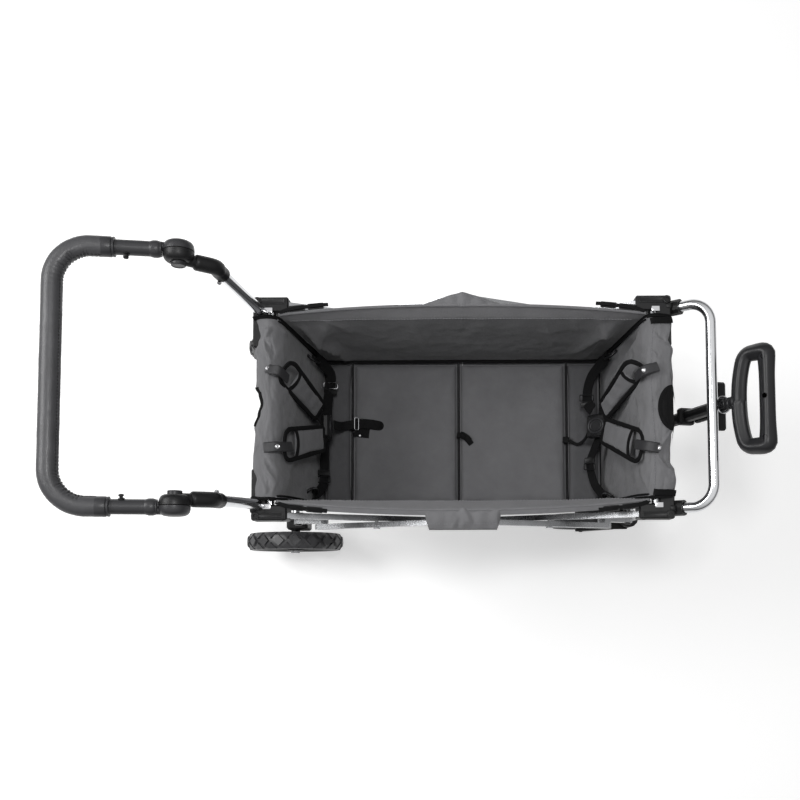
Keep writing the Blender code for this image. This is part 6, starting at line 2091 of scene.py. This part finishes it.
@dataclass
class PullHandle:
    """The pull handle: the finishes of its tubes, clip and clevis, and its neck ring and grip."""

    bench: Workbench
    pivot: Point = (0.458, 0.0, 0.385)
    lean: float = math.radians(17.5)

    def along(self, out: float, across: float, run: float) -> Vector:
        """A point in the handle's own frame: out from the tube, across the wagon, along the tube."""
        c, s = math.cos(self.lean), math.sin(self.lean)
        px, _, pz = self.pivot
        return Vector((px + out * c + run * s, across, pz - out * s + run * c))

    def build(self) -> None:
        """Makes the neck ring and the grip, and gives the other pieces their finishes."""
        run = 0.3035
        line = [self.along(0.0163 * math.cos(a), 0.0163 * math.sin(a), run) for a in circle(32)]
        ring = tube_along("neck_ring", line, 0.0030, 10, closed=True)
        self.bench.mount(ring, "pull_inner", STEEL, "steel")
        self.grip()
        self.bench.dress(PLASTIC, "pull_tube_outer", "pull_lock_clip", "pull_bracket")
        self.bench.dress(METAL, "pull_tube_inner")

    def grip(self) -> None:
        """The D of the grip, a ribbed inner bar on a neck, and three screws in its outer bar."""
        tilt = math.radians(48)
        neck = self.along(0, 0, 0.325)
        up = Vector((math.sin(tilt), 0, math.cos(tilt)))
        face = Vector((-math.cos(tilt), 0, math.sin(tilt)))

        def spot(across: float, rise: float, out: float = 0.0) -> Vector:
            """A point in the plane of the D."""
            return neck + up * rise + Vector((0, across, 0)) + face * out

        corners = [
            (0.0, 0.0230), (0.035, 0.0245), (0.065, 0.0290), (0.086, 0.0350), (0.0950, 0.0440),
            (0.0965, 0.0560), (0.0965, 0.0740), (0.0930, 0.0820), (0.0840, 0.0836), (0.040, 0.0838),
        ]
        loop = corners + [(0.0, 0.0838)] + [(-a, b) for a, b in reversed(corners[1:])]
        line = smooth_line([spot(a, b) for a, b in loop], 0.004, closed=True)
        length = sum((b - a).length for a, b in zip(line, line[1:] + line[:1]))
        sides = 32

        def swell(run: float, side: int) -> float:
            """A thick outer bar, a slimmer inner one with ridges along its face, and full ends."""
            middle = abs(run / length - 0.5) * 2
            inner = min(1.0, max(0.0, (middle - 0.52) / 0.12))
            ends = math.exp(-(((middle - 0.42) / 0.14) ** 2))
            a = 2 * math.pi * side / sides
            square = 0.0016 * abs(math.sin(2 * a)) ** 2
            ridge = 0.0006 * inner * math.cos(6 * a)
            return 0.0012 * inner + 0.0026 * ends + square + ridge

        ring = tube_along("ring", line, 0.0142, sides, closed=True, swell=swell)
        low = self.along(0, 0, 0.3070)
        cone = turned_piece(
            "cone",
            [
                (0.0115, 0.0), (0.0125, 0.05), (0.0125, 0.22), (0.0108, 0.26), (0.0108, 0.34),
                (0.0128, 0.38), (0.0128, 0.50), (0.0112, 0.54), (0.0112, 0.62), (0.0140, 0.68),
                (0.0170, 0.90), (0.0150, 1.0),
            ],
            low,
            spot(0, 0.020),
            36,
        )
        fins = [
            moulded_block("fin", spot(s * 0.016, 0.0145), Vector((0.010, 0.020, 0.012)), 0.004)
            for s in (1, -1)
        ]
        grip = merged("grip_body", [ring, cone, *fins])
        self.bench.mount(grip, "pull_inner", GRIP_PLASTIC, "black_plastic", ["pull_grip"])
        pieces = []
        for across, rise in ((0.082, 0.0840), (0.002, 0.0850), (-0.082, 0.0840)):
            seat = spot(across, rise, 0.0156)
            rings = [(0.0050, 0.0), (0.0050, 0.5), (0.0044, 0.9), (0.0034, 0.3), (0.0004, 0.3)]
            pieces.append(turned_piece("screw", rings, seat, seat + face * 0.0022, 20))
        screws = merged("grip_screws", pieces)
        self.bench.mount(screws, "pull_inner", SCREW, "black_plastic")


@dataclass
class FrameDress:
    """The finishes of the CAD nodes that stay, with the bright hoop, uprights and bracket lids."""

    bench: Workbench

    def build(self) -> None:
        """Makes the hoop, the uprights and the lids, and gives every node that stays its finish."""
        self.bench.dress(METAL, "rear_end_frame", "front_end_frame")
        self.hoop()
        for hand in Hand:
            self.upright(hand)
        for end in End:
            for hand in Hand:
                corner = f"{end.word}_{hand.word}"
                self.bench.dress(METAL, f"long_bar_{corner}", f"cross_bar_{corner}")
                self.bench.dress(PLASTIC, f"{end.word}_bracket_{hand.word}", f"sleeve_{corner}")
                self.bracket_lid(end, hand)
            self.bench.dress(PLASTIC, f"{end.word}_floor_board", f"{end.word}_buckle")
            self.bench.dress(GRIP_PLASTIC, f"{end.word}_buckle_button")
        for side in (hand.word for hand in Hand):
            self.bench.dress(PLASTIC, f"axle_block_{side}", f"caster_housing_{side}", f"caster_fork_{side}")
            self.bench.dress(RUBBER, f"caster_wheel_{side}")
        self.bench.dress(METAL, "rear_axle")
        self.bench.dress(PLASTIC, "brake_pedal")

    def hoop(self) -> None:
        """The bright hoop: two legs that rise out of the brackets, with round bends between them."""
        bend, half = 0.047, 0.216
        foot, knee = Vector((0.4500, half, 0.6430)), Vector((0.5200, half, 0.7000))
        rise = (knee - foot).normalized()
        hub = knee - rise * bend + Vector((0, -bend, 0))
        line = [foot.lerp(knee - rise * bend, t) for t in steps(6)[:-1]]
        for a in steps(16, 0.0, math.pi / 2):
            line.append(hub + Vector((0, bend * math.cos(a), 0)) + rise * (bend * math.sin(a)))
        line += [line[-1].lerp(Vector((knee.x, 0, knee.z)), t) for t in steps(6)[1:]]
        line += [Vector((p.x, -p.y, p.z)) for p in reversed(line[:-1])]
        tube = tube_along("hoop_tube", line, 0.0112, 36)
        self.bench.mount(tube, "front_frame", HOOP_METAL, "aluminium", ["front_hoop"])

    def upright(self, hand: Hand) -> None:
        """The polished tube of one upright, from its elbow down to the corner bracket."""
        top, bend = hand.place(*POST_TOP), hand.place(*POST_BEND)
        line = [top.lerp(bend, t) for t in steps(12, 0.0, 0.94)]
        tube = tube_along(f"upright_tube_{hand.word}", line, 0.0113, 36)
        self.bench.mount(tube, "rear_frame", HOOP_METAL, "aluminium")

    def bracket_lid(self, end: End, hand: Hand) -> None:
        """The bolt head, the lid and the hooked lug on one corner bracket, and the cap beside them."""
        e, s = end.value, hand.value
        at, size = Vector((e * 0.4060, s * 0.2300, 0.6655)), Vector((0.056, 0.0130, 0.0050))
        lid = moulded_block("lid", at, size, 0.0020, None, 0.0030)
        seat = Vector((e * 0.4368, s * 0.2299, 0.6640))
        rings = [
            (0.0088, 0.0), (0.0088, 0.45), (0.0078, 0.62), (0.0060, 0.66), (0.0056, 1.0), (0.0034, 1.0),
            (0.0030, 0.7), (0.0004, 0.7),
        ]
        bolt = turned_piece("bolt", rings, seat, seat + Vector((0, 0, 0.0075)), 28)
        at, size = Vector((e * 0.4420, s * 0.2170, 0.6580)), Vector((0.014, 0.014, 0.018))
        lug = moulded_block("lug", at, size, 0.0045)
        at, size = Vector((e * 0.4130, s * 0.2100, 0.6655)), Vector((0.018, 0.012, 0.004))
        cap = moulded_block(f"{end.word}_post_cap_{hand.word}", at, size, 0.0015)
        self.bench.mount(cap, end.body, STEEL, "steel")
        made = merged(f"{end.word}_bracket_lid_{hand.word}", [lid, bolt, lug])
        self.bench.mount(made, end.body, PLASTIC, "black_plastic")


@dataclass
class Studio:
    """The pale floor, the soft overhead light and the camera over the wagon."""

    bench: Workbench
    camera_at: Point = (0.0019, -0.370, 2.6025)
    tilt: float = 0.0666
    roll: float = -0.0046
    focal_px: float = 924.0
    principal: tuple[float, float] = (463.9, 520.2)
    frame_px: float = 800.0
    sensor_mm: float = 36.0
    paper_glow: float = 0.43
    room_light: float = 0.36
    room_low: tuple[float, float] = (0.05, 0.04)
    room_high: tuple[float, float] = (0.75, 1.0)

    def build(self) -> None:
        """Sets up floor, lights and camera."""
        self.floor()
        self.lights()
        self.camera()
        bpy.context.scene.view_settings.view_transform = "Standard"

    def floor(self) -> None:
        """A wide white sheet that the camera sees as paper and that still takes shadows."""
        bpy.ops.object.select_all(action="DESELECT")
        bpy.ops.mesh.primitive_plane_add(size=14.0, location=(0, 0, -0.0005))
        sheet = bpy.context.object
        sheet.name = "studio_floor"
        made = bpy.data.materials.new("white_paper")
        made.use_nodes = True
        tree = made.node_tree
        shader = tree.nodes["Principled BSDF"]
        shader.inputs["Base Color"].default_value = linear("#e9e9e9")
        shader.inputs["Roughness"].default_value = 0.9
        shader.inputs["Specular IOR Level"].default_value = 0.1
        path = tree.nodes.new("ShaderNodeLightPath")
        seen = add_node(
            tree, "ShaderNodeMath", {"operation": "MAXIMUM"},
            {0: path.outputs["Is Camera Ray"], 1: path.outputs["Is Glossy Ray"]},
        )
        glow = add_node(
            tree, "ShaderNodeMath", {"operation": "MULTIPLY", 1: self.paper_glow}, {0: seen.outputs["Value"]}
        )
        shader.inputs["Emission Color"].default_value = (1, 1, 1, 1)
        tree.links.new(glow.outputs["Value"], shader.inputs["Emission Strength"])
        sheet.data.materials.append(made)

    def lights(self) -> None:
        """A broad soft box above, a weaker one from the far side and an even white room."""
        for name, place, size, watts in (
            ("soft_box", (0.09, 0.10, 3.3), 0.45, 28.0), ("rear_box", (-2.1, 0.5, 2.3), 1.2, 46.0)
        ):
            lamp = bpy.data.lights.new(name, "AREA")
            lamp.size = size
            lamp.energy = watts
            obj = bpy.data.objects.new(name, lamp)
            obj.location = place
            aim = Vector((0, 0, 0.4)) - Vector(place)
            obj.rotation_euler = aim.to_track_quat("-Z", "Y").to_euler()
            bpy.context.scene.collection.objects.link(obj)
        world = bpy.data.worlds.new("white_room")
        bpy.context.scene.world = world
        world.use_nodes = True
        tree = world.node_tree
        back = tree.nodes["Background"]
        back.inputs["Color"].default_value = (1, 1, 1, 1)
        path = tree.nodes.new("ShaderNodeLightPath")
        way = tree.nodes.new("ShaderNodeTexCoord")
        rise = add_node(tree, "ShaderNodeSeparateXYZ", {}, {"Vector": way.outputs["Generated"]})
        shine = add_node(
            tree,
            "ShaderNodeMapRange",
            {
                "From Min": self.room_low[0],
                "From Max": self.room_high[0],
                "To Min": self.room_low[1] - self.room_light,
                "To Max": self.room_high[1] - self.room_light,
            },
            {"Value": rise.outputs["Z"]},
        )
        mirrored = add_node(
            tree, "ShaderNodeMath", {"operation": "MULTIPLY"},
            {0: path.outputs["Is Glossy Ray"], 1: shine.outputs["Result"]},
        )
        paper = add_node(
            tree, "ShaderNodeMath",
            {"operation": "MULTIPLY_ADD", 1: 1.0 - self.room_light, 2: self.room_light},
            {0: path.outputs["Is Camera Ray"]},
        )
        level = add_node(
            tree, "ShaderNodeMath", {"operation": "ADD"},
            {0: paper.outputs["Value"], 1: mirrored.outputs["Value"]},
        )
        tree.links.new(level.outputs["Value"], back.inputs["Strength"])

    def camera(self) -> None:
        """The camera fitted to the photograph: almost straight down, with its frame shifted."""
        lens = bpy.data.cameras.new("camera")
        lens.sensor_width = self.sensor_mm
        lens.lens = self.focal_px * self.sensor_mm / self.frame_px
        lens.shift_x = (self.frame_px / 2 - self.principal[0]) / self.frame_px
        lens.shift_y = (self.principal[1] - self.frame_px / 2) / self.frame_px
        lens.clip_start = 0.05
        obj = bpy.data.objects.new("camera", lens)
        spin = Matrix.Rotation(self.tilt, 4, "X") @ Matrix.Rotation(self.roll, 4, "Z")
        obj.matrix_world = Matrix.Translation(Vector(self.camera_at) + self.bench.middle) @ spin
        bpy.context.scene.collection.objects.link(obj)
        bpy.context.scene.camera = obj


def main() -> None:
    """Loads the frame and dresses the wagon."""
    logging.basicConfig(level=logging.INFO, format="%(name)s: %(message)s")
    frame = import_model()
    bench = Workbench(frame)
    Studio(bench).build()
    FrameDress(bench).build()
    BasketShell(bench).build()
    FloorPads(bench).build()
    for end in End:
        Harness(bench, end).build()
    CornerStraps(bench).build()
    for hand in Hand:
        RearWheel(bench, hand).build()
    PushHandle(bench).build()
    PullHandle(bench).build()


if __name__ == "__main__":
    main()
